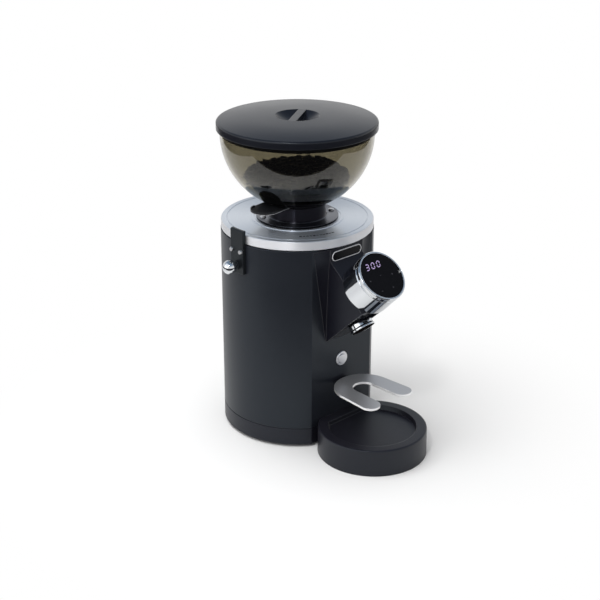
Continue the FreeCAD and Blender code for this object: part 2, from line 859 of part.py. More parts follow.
def hopper_bowl():
    """Clear moulded half sphere with a straight rim, cut off flat where it sits on the base."""
    outer = bowl_r
    inner = bowl_r - bowl_wall
    drop = bowl_mid_z - z_bowl
    seat_in = math.sqrt(inner ** 2 - drop ** 2)
    low_out = math.atan2(drop, bowl_seat_r) / 2
    low_in = math.atan2(drop, seat_in) / 2
    mid_out = V(outer * math.cos(low_out), 0, bowl_mid_z - outer * math.sin(low_out))
    mid_in = V(inner * math.cos(low_in), 0, bowl_mid_z - inner * math.sin(low_in))
    seat_out = V(bowl_seat_r, 0, z_bowl)
    edges = [
        Part.Arc(seat_out, mid_out, V(outer, 0, bowl_mid_z)),
        Part.LineSegment(V(outer, 0, bowl_mid_z), V(outer, 0, z_lid)),
        Part.LineSegment(V(outer, 0, z_lid), V(inner, 0, z_lid)),
        Part.LineSegment(V(inner, 0, z_lid), V(inner, 0, bowl_mid_z)),
        Part.Arc(V(inner, 0, bowl_mid_z), mid_in, V(seat_in, 0, z_bowl)),
        Part.LineSegment(V(seat_in, 0, z_bowl), seat_out),
    ]
    return turned_edges(edges)


def hopper_lid():
    """Domed lid with a rounded rim, a plug ring inside the bowl and a finger cup with a grip bar."""
    edge = lid_edge_r
    turn = edge * (1 - math.sqrt(0.5))
    shoulder = lid_r - edge
    dome_r = (shoulder ** 2 + lid_rise ** 2) / (2 * lid_rise)
    dome_mid = z_rim + lid_rise - dome_r

    def dome(r):
        return V(r, 0, dome_mid + math.sqrt(dome_r ** 2 - r ** 2))

    brim = dome(lid_cup_r)
    floor = brim.z - lid_cup_deep
    dish_r = (lid_cup_r ** 2 + lid_cup_deep ** 2) / (2 * lid_cup_deep)

    def dish(r):
        return V(r, 0, floor + dish_r - math.sqrt(dish_r ** 2 - r ** 2))

    under = z_rim - lid_skin
    plug_in = lid_plug_r - lid_plug_wall
    cup_out = lid_cup_r + lid_cup_wall
    cup_low = floor - lid_cup_wall
    edges = [
        Part.LineSegment(V(0, 0, cup_low), V(cup_out, 0, cup_low)),
        Part.LineSegment(V(cup_out, 0, cup_low), V(cup_out, 0, under)),
        Part.LineSegment(V(cup_out, 0, under), V(plug_in, 0, under)),
        Part.LineSegment(V(plug_in, 0, under), V(plug_in, 0, z_lid - lid_plug_h)),
        Part.LineSegment(V(plug_in, 0, z_lid - lid_plug_h), V(lid_plug_r, 0, z_lid - lid_plug_h)),
        Part.LineSegment(V(lid_plug_r, 0, z_lid - lid_plug_h), V(lid_plug_r, 0, z_lid)),
        Part.LineSegment(V(lid_plug_r, 0, z_lid), V(lid_r, 0, z_lid)),
        Part.LineSegment(V(lid_r, 0, z_lid), V(lid_r, 0, z_rim - edge)),
        Part.Arc(V(lid_r, 0, z_rim - edge), V(lid_r - turn, 0, z_rim - turn), V(shoulder, 0, z_rim)),
        Part.Arc(V(shoulder, 0, z_rim), dome((shoulder + lid_cup_r) / 2), brim),
        Part.Arc(brim, dish(lid_cup_r / 2), V(0, 0, floor)),
        Part.LineSegment(V(0, 0, floor), V(0, 0, cup_low)),
    ]
    bar = block(-lid_cup_r, lid_cup_r, -lid_bar_w / 2, lid_bar_w / 2, cup_low, brim.z)
    bar = bar.common(cylinder(lid_cup_r + lid_edge_r, cup_low, brim.z))
    bar.rotate(V(0, 0, 0), Z_AXIS, lid_turn)
    return joined([turned_edges(edges), bar])


# Locking plunger: bracket screwed to the shell, sleeve, sprung pin and ball knob
sleeve_outer = bracket_face + sleeve_stand
sleeve_inner = sleeve_outer - sleeve_l
pin_tip = skirt_r - pin_reach
knob_flat = knob_face - knob_r + knob_cut


def lock_bracket():
    w = bracket_half_w
    plate = block(-bracket_face, -body_r + base_wall, -w, w, bracket_z0, bracket_z1)
    plate = plate.cut(cylinder(body_r, bracket_z0, bracket_z1))
    bevel = Part.makeBox(2 * bracket_bevel, 2 * w, 2 * bracket_bevel, V(-bracket_bevel, -w, -bracket_bevel))
    bevel.rotate(V(0, 0, 0), Y_AXIS, 45)
    bevel.translate(V(-bracket_face, 0, bracket_z1 + bracket_bevel * (math.sqrt(2) - 1)))
    cuts = [bevel, on_left(cylinder(sleeve_r + nest_gap, 0, 2 * body_r), lock_z)]
    for y in (-bracket_screw_half, bracket_screw_half):
        hole = on_left(cylinder(bracket_screw_r + nest_gap, 0, 2 * body_r), bracket_screw_z)
        cuts.append(hole.translated(V(0, y, 0)))
    return plate.cut(cuts)


def bracket_screws():
    group = []
    for y in (-bracket_screw_half, bracket_screw_half):
        one = screw(bracket_screw_r, bracket_screw_l, bracket_screw_head_r, bracket_screw_head_h)
        one = on_left(one.translated(V(0, 0, bracket_face)), bracket_screw_z)
        group.append(one.translated(V(0, y, 0)))
    return Part.makeCompound(group)


def plunger_sleeve():
    guide = pin_r + shaft_gap
    wide0 = sleeve_inner + sleeve_end
    wide1 = sleeve_outer - sleeve_end
    profile = [(guide, sleeve_inner), (sleeve_r, sleeve_inner), (sleeve_r, sleeve_outer)]
    profile += [(guide, sleeve_outer), (guide, wide1), (sleeve_bore_r, wide1)]
    profile += [(sleeve_bore_r, wide0), (guide, wide0)]
    return on_left(turned(profile), lock_z)


collar_place = sleeve_inner + sleeve_end + slide_gap


def lock_pin():
    profile = [(0, pin_tip), (pin_r, pin_tip), (pin_r, collar_place), (pin_collar_r, collar_place)]
    profile += [(pin_collar_r, collar_place + pin_collar_l), (pin_r, collar_place + pin_collar_l)]
    profile += [(pin_r, knob_flat), (0, knob_flat)]
    return on_left(turned(profile), lock_z)


def lock_knob():
    ball = Part.makeSphere(knob_r, V(0, 0, knob_face))
    inner = cylinder(knob_r, knob_face - knob_r, knob_flat)
    return on_left(ball.cut(inner), lock_z)


def lock_spring():
    z0 = collar_place + pin_collar_l + spring_wire_r / 4
    z1 = sleeve_outer - sleeve_end - spring_wire_r / 4
    mean_r = (pin_r + shaft_gap + sleeve_bore_r) / 2
    spring = coil(mean_r, spring_wire_r, z1 - z0, spring_turns)
    return on_left(spring.translated(V(0, 0, z0)), lock_z)


# Spout housing: wedge on the front with a sloping top, a rising underside and flared feet
spout_face = -front_flat - spout_plate
fall_tan = math.tan(math.radians(spout_fall))
rise_tan = math.tan(math.radians(spout_rise))


def wedge(wall, under_wall, half_w):
    """Housing outline drawn in by a wall on the front, top and slope, and by another below."""
    drop = wall / math.cos(math.radians(spout_fall))
    lift = under_wall / math.cos(math.radians(spout_rise))
    face = spout_face + wall
    top = spout_top - wall
    shoulder = spout_shoulder - drop + wall * fall_tan
    toe = spout_toe + lift
    tip_y = (toe - front_flat * rise_tan - shoulder + face * fall_tan) / (fall_tan + rise_tan)
    tip_z = shoulder + (tip_y - face) * fall_tan
    outline = [(-front_flat, top), (face, top), (face, shoulder), (tip_y, tip_z), (-front_flat, toe)]
    return side_prism(outline, half_w)


def display_seat(gap):
    """Space that the display takes: its drum, and all that lies before its foot below the middle."""
    far = 4 * display_l
    drum = cylinder(display_r + gap, -gap, far)
    below = block(-far, far, -far, -display_r / 2, -gap, far)
    return on_display(joined([drum, below]))


def flare(side):
    """Hollow-curved foot that spreads from the housing's wall to the flat front."""
    low = spout_toe + flare_lift
    sunk = spout_half_w - spout_wall / 2
    top_out = spout_half_w + flare_top
    low_out = spout_half_w + flare_toe
    points = [V(side * x, -front_flat, z) for x, z in
              ((sunk, low), (low_out, low), (top_out, spout_top), (sunk, spout_top))]
    foot = Part.Face(Part.makePolygon(points + points[:1])).extrude(V(0, -flare_deep, 0))
    edge = points[2] - points[1]
    hollow_r = (flare_top ** 2 + flare_deep ** 2) / (2 * flare_deep)
    start = points[1] - edge + V(0, -hollow_r - flare_skin, 0)
    return foot.cut(Part.makeCylinder(hollow_r, 3 * edge.Length, start, edge))


def spout_housing():
    """Hollow wedge, open to the front of the shell, with a recess round the nozzle."""
    inner_w = spout_half_w - spout_wall
    outer = joined([wedge(0, 0, spout_half_w), flare(-1), flare(1)]).cut(display_seat(0))
    room = wedge(spout_wall, spout_recess + spout_wall, inner_w).cut(display_seat(spout_wall))
    below = wedge(spout_wall, 0, inner_w).cut(wedge(spout_wall, spout_recess, inner_w))
    below = below.cut(display_seat(spout_wall))
    below = below.cut(block(-spout_half_w, spout_half_w, -front_flat - spout_wall, 0, 0, spout_top))
    nozzle_hole = on_nozzle(cylinder(nozzle_r + nest_gap, -nozzle_l, 0))
    wires = on_display(cylinder(wire_hole_r, -display_l, 0))
    return outer.cut([room, below, nozzle_hole, wires])


# Display: chrome drum on the sloping top, bezel, glass and board
z_bezel = display_l - bezel_h
z_glass = display_l - glass_sunk - glass_h
board_seat_r = display_r - display_wall


def display_housing():
    profile = [(wire_hole_r, 0), (display_r, 0), (display_r, z_bezel - bezel_edge)]
    profile += [(display_r - bezel_edge, z_bezel), (board_seat_r, z_bezel), (board_seat_r, board_ledge)]
    profile += [(board_seat_r - ledge_w, board_ledge), (board_seat_r - ledge_w, display_wall)]
    profile += [(wire_hole_r, display_wall)]
    return on_display(turned(profile))


def display_bezel():
    profile = [(glass_r - bezel_lip, z_bezel), (display_r - bezel_edge, z_bezel)]
    profile += [(display_r, z_bezel + bezel_edge), (display_r, display_l - bezel_edge)]
    profile += [(display_r - bezel_edge, display_l), (glass_r + nest_gap, display_l)]
    profile += [(glass_r + nest_gap, z_glass), (glass_r - bezel_lip, z_glass)]
    return on_display(turned(profile))


def display_glass():
    return on_display(cylinder(glass_r, z_glass, z_glass + glass_h))


def display_board():
    return on_display(cylinder(board_seat_r - nest_gap, board_ledge, board_ledge + board_h))


# Nozzle under the spout housing and the chute that feeds it
def nozzle():
    lip = nozzle_lip_h
    profile = [(nozzle_bore_r, -nozzle_l), (nozzle_r, -nozzle_l), (nozzle_r, -2 * lip), (nozzle_lip_r, -lip)]
    profile += [(nozzle_lip_r, 0), (nozzle_r - lip / 2, 0)]
    profile += [(nozzle_bore_r + lip / 2, -lip / 2), (nozzle_bore_r, -2 * lip)]
    return on_nozzle(turned(profile))


def grounds_chute():
    return on_nozzle(tube(chute_r, nozzle_bore_r, -nozzle_l - chute_l, -nozzle_l))


# Push button below the spout
def button_bezel():
    face = front_flat + bezel_out
    edge = bezel_out / 2
    bore = button_r + shaft_gap
    profile = [(bore, front_flat - barrel_l), (barrel_r, front_flat - barrel_l), (barrel_r, front_flat)]
    profile += [(bezel_r, front_flat), (bezel_r, face - edge), (bezel_r - edge, face), (bore, face)]
    return on_front(turned(profile), button_z)


def push_button():
    face = front_flat + bezel_out + button_out
    edge = button_out / 2
    back = face - button_l
    stem = front_flat - barrel_l + button_travel + slide_gap
    profile = [(0, stem), (button_stem_r, stem), (button_stem_r, back), (button_r, back)]
    profile += [(button_r, face - edge), (button_r - edge, face), (0, face)]
    return on_front(turned(profile), button_z)


def button_nut():
    z1 = shell_in_flat
    points = [V(x, y, z1 - button_nut_h) for x, y in circle_places(button_nut_r, 6)]
    nut = Part.Face(Part.makePolygon(points + points[:1])).extrude(V(0, 0, button_nut_h))
    return on_front(nut.cut(cylinder(barrel_r + nest_gap, z1 - button_nut_h, z1)), button_z)


def button_switch():
    z1 = front_flat - barrel_l
    body = block(-switch_half_w, switch_half_w, -switch_half_w, switch_half_w, z1 - switch_l, z1)
    return on_front(body, button_z)


def button_spring():
    z0 = front_flat - barrel_l + spring_wire_r / 4
    z1 = front_flat + bezel_out + button_out - button_l - spring_wire_r / 4
    mean_r = (button_stem_r + button_r) / 2
    spring = coil(mean_r, spring_wire_r, z1 - z0, spring_turns / 2)
    return on_front(spring.translated(V(0, 0, z0)), button_z)


# Portafilter fork: steel plate on an arm that comes through the front, screwed to it from below
def portafilter_fork():
    z0 = fork_z - fork_h
    tip_mid = (fork_tip_out + fork_tip_in) / 2
    tip_r = (fork_tip_out - fork_tip_in) / 2
    tip_y = tip_r - fork_tip_y

    def at(x, y):
        return V(x, y, z0)

    back = -fork_y
    edges = [
        Part.Arc(at(fork_out_r, back), at(0, back + fork_out_r), at(-fork_out_r, back)),
        Part.LineSegment(at(-fork_out_r, back), at(-fork_tip_out, tip_y)),
        Part.Arc(at(-fork_tip_out, tip_y), at(-tip_mid, -fork_tip_y), at(-fork_tip_in, tip_y)),
        Part.LineSegment(at(-fork_tip_in, tip_y), at(-fork_gap_r, back)),
        Part.Arc(at(-fork_gap_r, back), at(0, back + fork_gap_r), at(fork_gap_r, back)),
        Part.LineSegment(at(fork_gap_r, back), at(fork_tip_in, tip_y)),
        Part.Arc(at(fork_tip_in, tip_y), at(tip_mid, -fork_tip_y), at(fork_tip_out, tip_y)),
        Part.LineSegment(at(fork_tip_out, tip_y), at(fork_out_r, back)),
    ]
    plate = Part.Face(Part.Wire([edge.toShape() for edge in edges])).extrude(V(0, 0, fork_h))
    return plate.cut(holes(fork_screw_places, fork_screw_r + nest_gap, z0, z0 + fork_screw_bite))


fork_screw_y = (fork_out_r + fork_gap_r) / 2 - fork_y
fork_screw_places = [(-fork_screw_half, fork_screw_y), (fork_screw_half, fork_screw_y)]


def fork_arm():
    """Bent steel arm: it lies under the fork, passes the front and hooks down behind it."""
    z1 = fork_z - fork_h
    z0 = z1 - fork_arm_h
    inner = -shell_in_flat
    arm = block(-fork_arm_half, fork_arm_half, -front_flat - fork_arm_reach, inner + fork_arm_h, z0, z1)
    leg = block(-fork_arm_half, fork_arm_half, inner, inner + fork_arm_h, z1 - fork_leg_h, z1)
    return joined([arm, leg]).cut(holes(fork_screw_places, fork_screw_r + nest_gap, z0, z1))


def fork_screws():
    """Screws from below that hold the fork on its arm."""
    seat = fork_z - fork_h - fork_arm_h
    long = fork_arm_h + fork_screw_bite
    return screws(fork_screw_places, seat, fork_screw_r, long, fork_screw_head_r, fork_screw_head_h, True)


# Catch tray in front of the base, with a tongue that goes under the base
def catch_tray():
    back = -front_flat - slide_gap
    edge = tray_edge
    turn = edge * (1 - math.sqrt(0.5))
    side = [
        Part.LineSegment(V(0, 0, 0), V(tray_r, 0, 0)),
        Part.LineSegment(V(tray_r, 0, 0), V(tray_top_r, 0, tray_h - edge)),
        Part.Arc(
            V(tray_top_r, 0, tray_h - edge),
            V(tray_top_r - turn, 0, tray_h - turn),
            V(tray_top_r - edge, 0, tray_h),
        ),
        Part.LineSegment(V(tray_top_r - edge, 0, tray_h), V(0, 0, tray_h)),
        Part.LineSegment(V(0, 0, tray_h), V(0, 0, 0)),
    ]
    floor = tray_h - tray_dish_deep
    front = V(0, -tray_y, 0)
    body = turned_edges(side).translated(front)
    body = body.cut(block(-tray_r, tray_r, back, 0, 0, tray_h))
    dish = turned([(0, floor), (tray_dish_r - tray_dish_slope, floor), (tray_dish_r, tray_h), (0, tray_h)])
    dish = dish.translated(front).cut(block(-tray_r, tray_r, -tray_dish_back, 0, 0, tray_h))
    hollow = cylinder(tray_top_r - tray_wall - edge, 0, floor - tray_skin, 0, -tray_y)
    hollow = hollow.cut(block(-tray_r, tray_r, back - tray_wall, 0, 0, tray_h))
    tongue = block(-tongue_half_w, tongue_half_w, back - tray_wall, -front_flat + tongue_reach,
                   tongue_lift, tongue_lift + tongue_h)
    return joined([body.cut(dish).cut(hollow), tongue])


def lower_burr():
    return burr(False)


def upper_burr():
    return burr(True)


pieces = [
    base_pan, rubber_feet, tie_posts, base_screws, control_board, run_capacitor, body_shell, cord_gland,
    motor_platform, motor_can, motor_end_bell, stator_core, rotor_core,
    lower_bearing, upper_bearing, motor_shaft,
    grind_chamber, lower_burr_carrier, lower_burr, lower_burr_screws, shaft_nut,
    upper_burr, upper_burr_screws, upper_burr_carrier, adjusting_ring, carrier_screws, index_skirt,
    hopper_collar, collar_screws, hopper_base, bean_gate, hopper_bowl, hopper_lid,
    lock_bracket, bracket_screws, plunger_sleeve, lock_pin, lock_knob, lock_spring,
    spout_housing, display_housing, display_bezel, display_glass, display_board, nozzle, grounds_chute,
    button_bezel, push_button, button_nut, button_switch, button_spring,
    portafilter_fork, fork_arm, fork_screws, catch_tray,
]

os.makedirs("parts", exist_ok=True)
for piece in pieces:
    shape = piece()
    shape = shape.translated(V(-middle_x, -middle_y, 0))
    shape.exportStep(os.path.join("parts", piece.__name__ + ".step"))
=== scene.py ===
import bpy
import bmesh
import json
import math
from mathutils import Matrix, Vector


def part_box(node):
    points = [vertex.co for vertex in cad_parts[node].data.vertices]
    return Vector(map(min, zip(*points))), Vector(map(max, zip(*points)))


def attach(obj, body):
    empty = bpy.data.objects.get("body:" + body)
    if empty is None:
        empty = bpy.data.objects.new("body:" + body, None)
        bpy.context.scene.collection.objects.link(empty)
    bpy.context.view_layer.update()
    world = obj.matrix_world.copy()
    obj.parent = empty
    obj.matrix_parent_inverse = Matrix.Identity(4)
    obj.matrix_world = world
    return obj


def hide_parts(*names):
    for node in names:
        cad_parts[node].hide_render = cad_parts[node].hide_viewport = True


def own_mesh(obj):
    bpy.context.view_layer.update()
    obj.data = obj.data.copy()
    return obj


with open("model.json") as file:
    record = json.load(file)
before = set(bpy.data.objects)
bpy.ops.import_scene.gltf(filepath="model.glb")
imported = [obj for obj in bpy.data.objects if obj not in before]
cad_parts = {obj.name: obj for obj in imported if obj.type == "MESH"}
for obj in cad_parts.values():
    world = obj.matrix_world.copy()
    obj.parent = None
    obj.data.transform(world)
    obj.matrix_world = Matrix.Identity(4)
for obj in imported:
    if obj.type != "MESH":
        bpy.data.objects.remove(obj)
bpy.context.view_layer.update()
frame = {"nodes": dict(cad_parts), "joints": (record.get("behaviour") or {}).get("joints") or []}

# Feet and base pan. Four soft rubber buttons pressed into a black moulded pan, which closes the
# body from below and shows as a band under the seam. The mould has a fine spark-eroded grain.
class Strand:
    """A socket of a node tree. Sums of strands and numbers add the Math nodes."""

    def __init__(self, tree, socket=None):
        self.tree = tree
        self.socket = socket

    def node(self, kind, settings=None, inputs=None, out=0):
        """A new node with its settings and inputs, as the strand of one of its outputs."""
        made = self.tree.nodes.new(kind)
        for name, value in (settings or {}).items():
            setattr(made, name, value)
        for name, value in (inputs or {}).items():
            if isinstance(value, Strand):
                self.tree.links.new(value.socket, made.inputs[name])
            else:
                made.inputs[name].default_value = value
        return Strand(self.tree, made.outputs[out] if made.outputs else None)

    def other(self, out):
        """Another output of the same node."""
        return Strand(self.tree, self.socket.node.outputs[out])

    def sum(self, operation, first, second):
        """One Math node."""
        return self.node("ShaderNodeMath", {"operation": operation}, {0: first, 1: second})

    def __add__(self, other):
        return self.sum("ADD", self, other)

    def __radd__(self, other):
        return self.sum("ADD", other, self)

    def __sub__(self, other):
        return self.sum("SUBTRACT", self, other)

    def __rsub__(self, other):
        return self.sum("SUBTRACT", other, self)

    def __mul__(self, other):
        return self.sum("MULTIPLY", self, other)

    def __rmul__(self, other):
        return self.sum("MULTIPLY", other, self)

    def __truediv__(self, other):
        return self.sum("DIVIDE", self, other)

    def __rtruediv__(self, other):
        return self.sum("DIVIDE", other, self)

    def most(self, other):
        """The larger of the two."""
        return self.sum("MAXIMUM", self, other)

    def between(self, low, high):
        """0 below low, 1 above high, and a soft step from one to the other."""
        return self.node(
            "ShaderNodeMapRange",
            {"interpolation_type": "SMOOTHSTEP"},
            {"Value": self, "From Min": low, "From Max": high},
        )

    def shade(self, dark, light):
        """A colour that goes from dark to light with this value."""
        ends = [end if isinstance(end, Strand) else (*end, 1.0) for end in (dark, light)]
        return self.node("ShaderNodeMix", {"data_type": "RGBA"}, {0: self, 6: ends[0], 7: ends[1]}, out=2)

    def vector(self, operation, other=(0.0, 0.0, 0.0), out="Vector"):
        """One Vector Math node. Its output Value is a plain number."""
        return self.node("ShaderNodeVectorMath", {"operation": operation}, {0: self, 1: other}, out)

    def part(self, axis):
        """The X, Y or Z of a vector."""
        return self.node("ShaderNodeSeparateXYZ", None, {0: self}, axis)

    def place(self):
        """The point on the object, in metres."""
        return self.node("ShaderNodeTexCoord", out="Object")

    def facing(self):
        """The direction that the surface faces."""
        return self.node("ShaderNodeNewGeometry", out="Normal")

    def noise(self, scale, detail=2.0, roughness=0.5, stretch=None):
        """Cloudy noise with so many features in a metre."""
        where = self.place()
        if stretch:
            where = self.node("ShaderNodeMapping", None, {"Vector": where, "Scale": stretch})
        return self.node(
            "ShaderNodeTexNoise",
            None,
            {"Vector": where, "Scale": scale, "Detail": detail, "Roughness": roughness},
        )

    def bump(self, height, depth, strength=1.0, normal=None):
        """A normal that follows a height of so many metres."""
        inputs = {"Height": height, "Distance": depth, "Strength": strength}
        if normal:
            inputs["Normal"] = normal
        return self.node("ShaderNodeBump", None, inputs)

    def rounded(self, radius):
        """The normal of an edge eased over to a small radius."""
        return self.node("ShaderNodeBevel", {"samples": 6}, {"Radius": radius})

    def edge(self, rounding):
        """1 on the eased edges and 0 on the flats."""
        return (1.0 - rounding.vector("DOT_PRODUCT", self.facing(), "Value")).between(0.01, 0.16)


def finish_of(name):
    """A bare finish to hang strands on."""
    material = bpy.data.materials.new(name)
    material.use_nodes = True
    material.node_tree.nodes.clear()
    return material, Strand(material.node_tree)


def surface(start, **sockets):
    """Close a finish with its shader. Words are joined by _ in the names of the sockets."""
    inputs = {name.replace("_", " "): value for name, value in sockets.items()}
    skin = start.node("ShaderNodeBsdfPrincipled", None, inputs)
    start.node("ShaderNodeOutputMaterial", None, {"Surface": skin})


def toned(colour, times, plus=0.0):
    """A colour made darker or lighter."""
    return tuple(channel * times + plus for channel in colour)


def dress(material, *names):
    """Give CAD nodes a finish."""
    for name in names:
        slots = frame["nodes"][name].data.materials
        slots.clear()
        slots.append(material)


def moulded(name, colour, roughness, grain=1700.0, depth=0.00012, easing=0.0007, shine=0.3, painted_edge_lift=0.010):
    """Black moulded plastic: eroded grain, faint flow marks, polished edges with a painted highlight."""
    material, strand = finish_of(name)
    flow = strand.noise(22.0, detail=3.0)
    speck = strand.noise(grain, detail=1.0, roughness=0.6)
    rounding = strand.rounded(easing)
    edge_wear_and_highlight = strand.edge(rounding)
    # The colour is lifted along the eased edges as a painted highlight; the lower roughness there is real
    # polish.
    plain = flow.shade(colour, toned(colour, 1.2, 0.003))
    surface(
        strand,
        Base_Color=(edge_wear_and_highlight * 0.7).shade(plain, toned(colour, 1.6, painted_edge_lift)),
        Roughness=roughness - 0.06 + flow * 0.12 - edge_wear_and_highlight * 0.08,
        Specular_IOR_Level=shine,
        Specular_Tint=(0.84, 0.94, 1.0, 1.0),
        Normal=strand.bump(speck, depth, strength=0.5, normal=rounding),
    )
    return material


rubber, strand = finish_of("feet_rubber")
dust = strand.noise(260.0, detail=4.0, roughness=0.65)
surface(
    strand,
    Base_Color=dust.shade((0.010, 0.010, 0.011), (0.024, 0.024, 0.024)),
    Roughness=0.72 + dust * 0.15,
    Normal=strand.bump(strand.noise(2400.0), 0.0001, strength=0.6),
)
dress(rubber, "rubber_feet")
dress(moulded("base_plastic", (0.0088, 0.0087, 0.0136), roughness=0.40), "base_pan", "cord_gland")

# Tie posts, the screws under the base and the other small bright fasteners. Plain machined steel,
# drawn and turned, with the marks of the tool running round or along each piece.
def machined(name, colour, roughness, along=(1.0, 1.0, 0.06), lines=2600.0):
    """Turned or drawn steel, its fine tool marks drawn out along the axis of the small scale."""
    material, strand = finish_of(name)
    marks = strand.noise(lines, roughness=0.6, stretch=along)
    haze = strand.noise(70.0, detail=3.0)
    surface(
        strand,
        Base_Color=(marks * 0.7 + haze * 0.3).shade(toned(colour, 0.86), colour),
        Metallic=1.0,
        Roughness=roughness - 0.05 + marks * 0.06 + haze * 0.08,
        Normal=strand.bump(marks, 0.00006, strength=0.4, normal=strand.rounded(0.0003)),
    )
    return material


dress(
    machined("bright_steel", (0.62, 0.62, 0.63), roughness=0.27),
    "base_screws",
    "collar_screws",
    "carrier_screws",
    "bracket_screws",
    "fork_screws",
    "upper_burr_screws",
    "lower_burr_screws",
    "shaft_nut",
    "button_nut",
)
drawn_steel = machined("drawn_steel", (0.52, 0.52, 0.53), roughness=0.34, along=(0.06, 0.06, 1.0))
dress(drawn_steel, "tie_posts", "motor_can")

# Motor. A cast platform and end bell hold the steel can, the stack of stator sheets, the rotor and
# the two ball bearings on the ground shaft.
cast_colour = (0.55, 0.55, 0.56)
cast_aluminium, strand = finish_of("cast_aluminium")
grit = strand.noise(1100.0, detail=3.0, roughness=0.7)
stain = strand.noise(45.0, detail=4.0, roughness=0.6)
surface(
    strand,
    Base_Color=(grit * 0.5 + stain * 0.5).shade(toned(cast_colour, 0.7), cast_colour),
    Metallic=1.0,
    Roughness=0.42 + grit * 0.12 + stain * 0.1,
    Normal=strand.bump(grit, 0.0002, strength=0.6, normal=strand.rounded(0.0006)),
)
dress(cast_aluminium, "motor_platform", "motor_end_bell")

sheet_pitch = 0.0005
stack, strand = finish_of("sheet_stack")
sheets = strand.sum("PINGPONG", strand.place().part("Z"), sheet_pitch) / sheet_pitch
stain = strand.noise(180.0, detail=3.0)
surface(
    strand,
    Base_Color=(sheets * 0.6 + stain * 0.4).shade((0.10, 0.10, 0.105), (0.34, 0.33, 0.32)),
    Metallic=1.0,
    Roughness=0.42 + stain * 0.14,
    Normal=strand.bump(sheets, 0.0001, strength=0.5),
)
dress(stack, "stator_core", "rotor_core")

ground_steel = machined(
    "ground_steel",
    (0.66, 0.66, 0.67),
    roughness=0.16,
    along=(1.0, 1.0, 0.05),
    lines=4200.0,
)
dress(ground_steel, "motor_shaft", "lower_bearing", "upper_bearing")

# Control board and run capacitor. A green lacquered board with fine tracks lies in the base, and a
# grey wound capacitor in its can stands beside it. The display's small board has the same lacquer.
tracks_per_metre = 260.0
lacquer, strand = finish_of("board_lacquer")
tracks = strand.node(
    "ShaderNodeTexVoronoi",
    {"feature": "DISTANCE_TO_EDGE"},
    {"Vector": strand.place(), "Scale": tracks_per_metre, "Randomness": 0.35},
)
copper = 1.0 - tracks.between(0.02, 0.06)
surface(
    strand,
    Base_Color=copper.shade((0.008, 0.055, 0.026), (0.020, 0.120, 0.050)),
    Roughness=0.34 - copper * 0.06,
    Normal=strand.bump(copper, 0.00005, strength=0.5),
)
dress(lacquer, "control_board", "display_board")

capacitor_skin, strand = finish_of("capacitor_skin")
film = strand.noise(150.0)
surface(
    strand,
    Base_Color=film.shade((0.30, 0.30, 0.31), (0.42, 0.42, 0.42)),
    Roughness=0.36 + film * 0.12,
    Normal=strand.bump(strand.noise(1500.0), 0.00005, strength=0.4),
)
dress(capacitor_skin, "run_capacitor")

# Body shell. Rolled sheet steel, round with a flat front, in a satin black powder coat whose skin
# has the slight ripple of the cured powder.
def powder_coat(name, colour, roughness, easing):
    """Cured satin powder: an orange-peel ripple, a little uneven in gloss; edges get a painted highlight.
    """
    material, strand = finish_of(name)
    peel = strand.noise(620.0, roughness=0.45)
    cloud = strand.noise(16.0, detail=3.0)
    rounding = strand.rounded(easing)
    edge_wear_and_highlight = strand.edge(rounding)
    # Random clouding and the eased edges take a lighter colour; on the edges it is a painted highlight.
    lighter_tone_and_highlight = toned(colour, 2.0, 0.012)
    surface(
        strand,
        Base_Color=(cloud * 0.25 + edge_wear_and_highlight * 0.75).shade(colour, lighter_tone_and_highlight),
        Roughness=roughness - 0.04 + cloud * 0.08 - edge_wear_and_highlight * 0.06,
        Specular_IOR_Level=0.32,
        Specular_Tint=(0.80, 0.93, 1.0, 1.0),
        Normal=strand.bump(peel, 0.00005, strength=0.5, normal=rounding),
    )
    return material


body_coat = powder_coat("body_powder_coat", (0.0086, 0.0097, 0.0142), roughness=0.37, easing=0.0009)
dress(body_coat, "body_shell")

# Grinding chamber and burr carriers. Machined castings under the ring: the upper carrier is screwed
# to the ring, and the lower one turns on the shaft with its sweeping vanes.
dress(cast_aluminium, "grind_chamber", "upper_burr_carrier", "lower_burr_carrier")

# Burrs. Two rings of hardened steel with skewed cutting grooves, finely ground and darker than the
# other pieces of steel.
hardened_steel = machined(
    "hardened_steel",
    (0.44, 0.44, 0.46),
    roughness=0.24,
    along=(1.0, 1.0, 0.3),
    lines=3400.0,
)
dress(hardened_steel, "lower_burr", "upper_burr")

# Adjusting ring and its index skirt. Turned aluminium, clear anodised: the lathe leaves fine rings
# on the top, so the light fans out from the middle, and the side is duller and paler.
joints = {joint["name"]: joint for joint in frame["joints"]}
axis_x, axis_y = joints["grind_setting"]["pos_m"][:2]
side_inset, side_blend = 0.0002, 0.0006
ring_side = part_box("adjusting_ring")[1].x - axis_x - side_inset


def from_axis(strand):
    """How far a point lies from the upright axis of the ring, the hopper and the lid."""
    level = strand.place().vector("MULTIPLY", (1.0, 1.0, 0.0))
    return level.vector("DISTANCE", (axis_x, axis_y, 0.0), "Value")


def turning(strand, along, scale, detail):
    """The marks of a lathe tool: noise that changes along one measure only."""
    return strand.node(
        "ShaderNodeTexNoise",
        {"noise_dimensions": "1D"},
        {"W": along, "Scale": scale, "Detail": detail},
    )


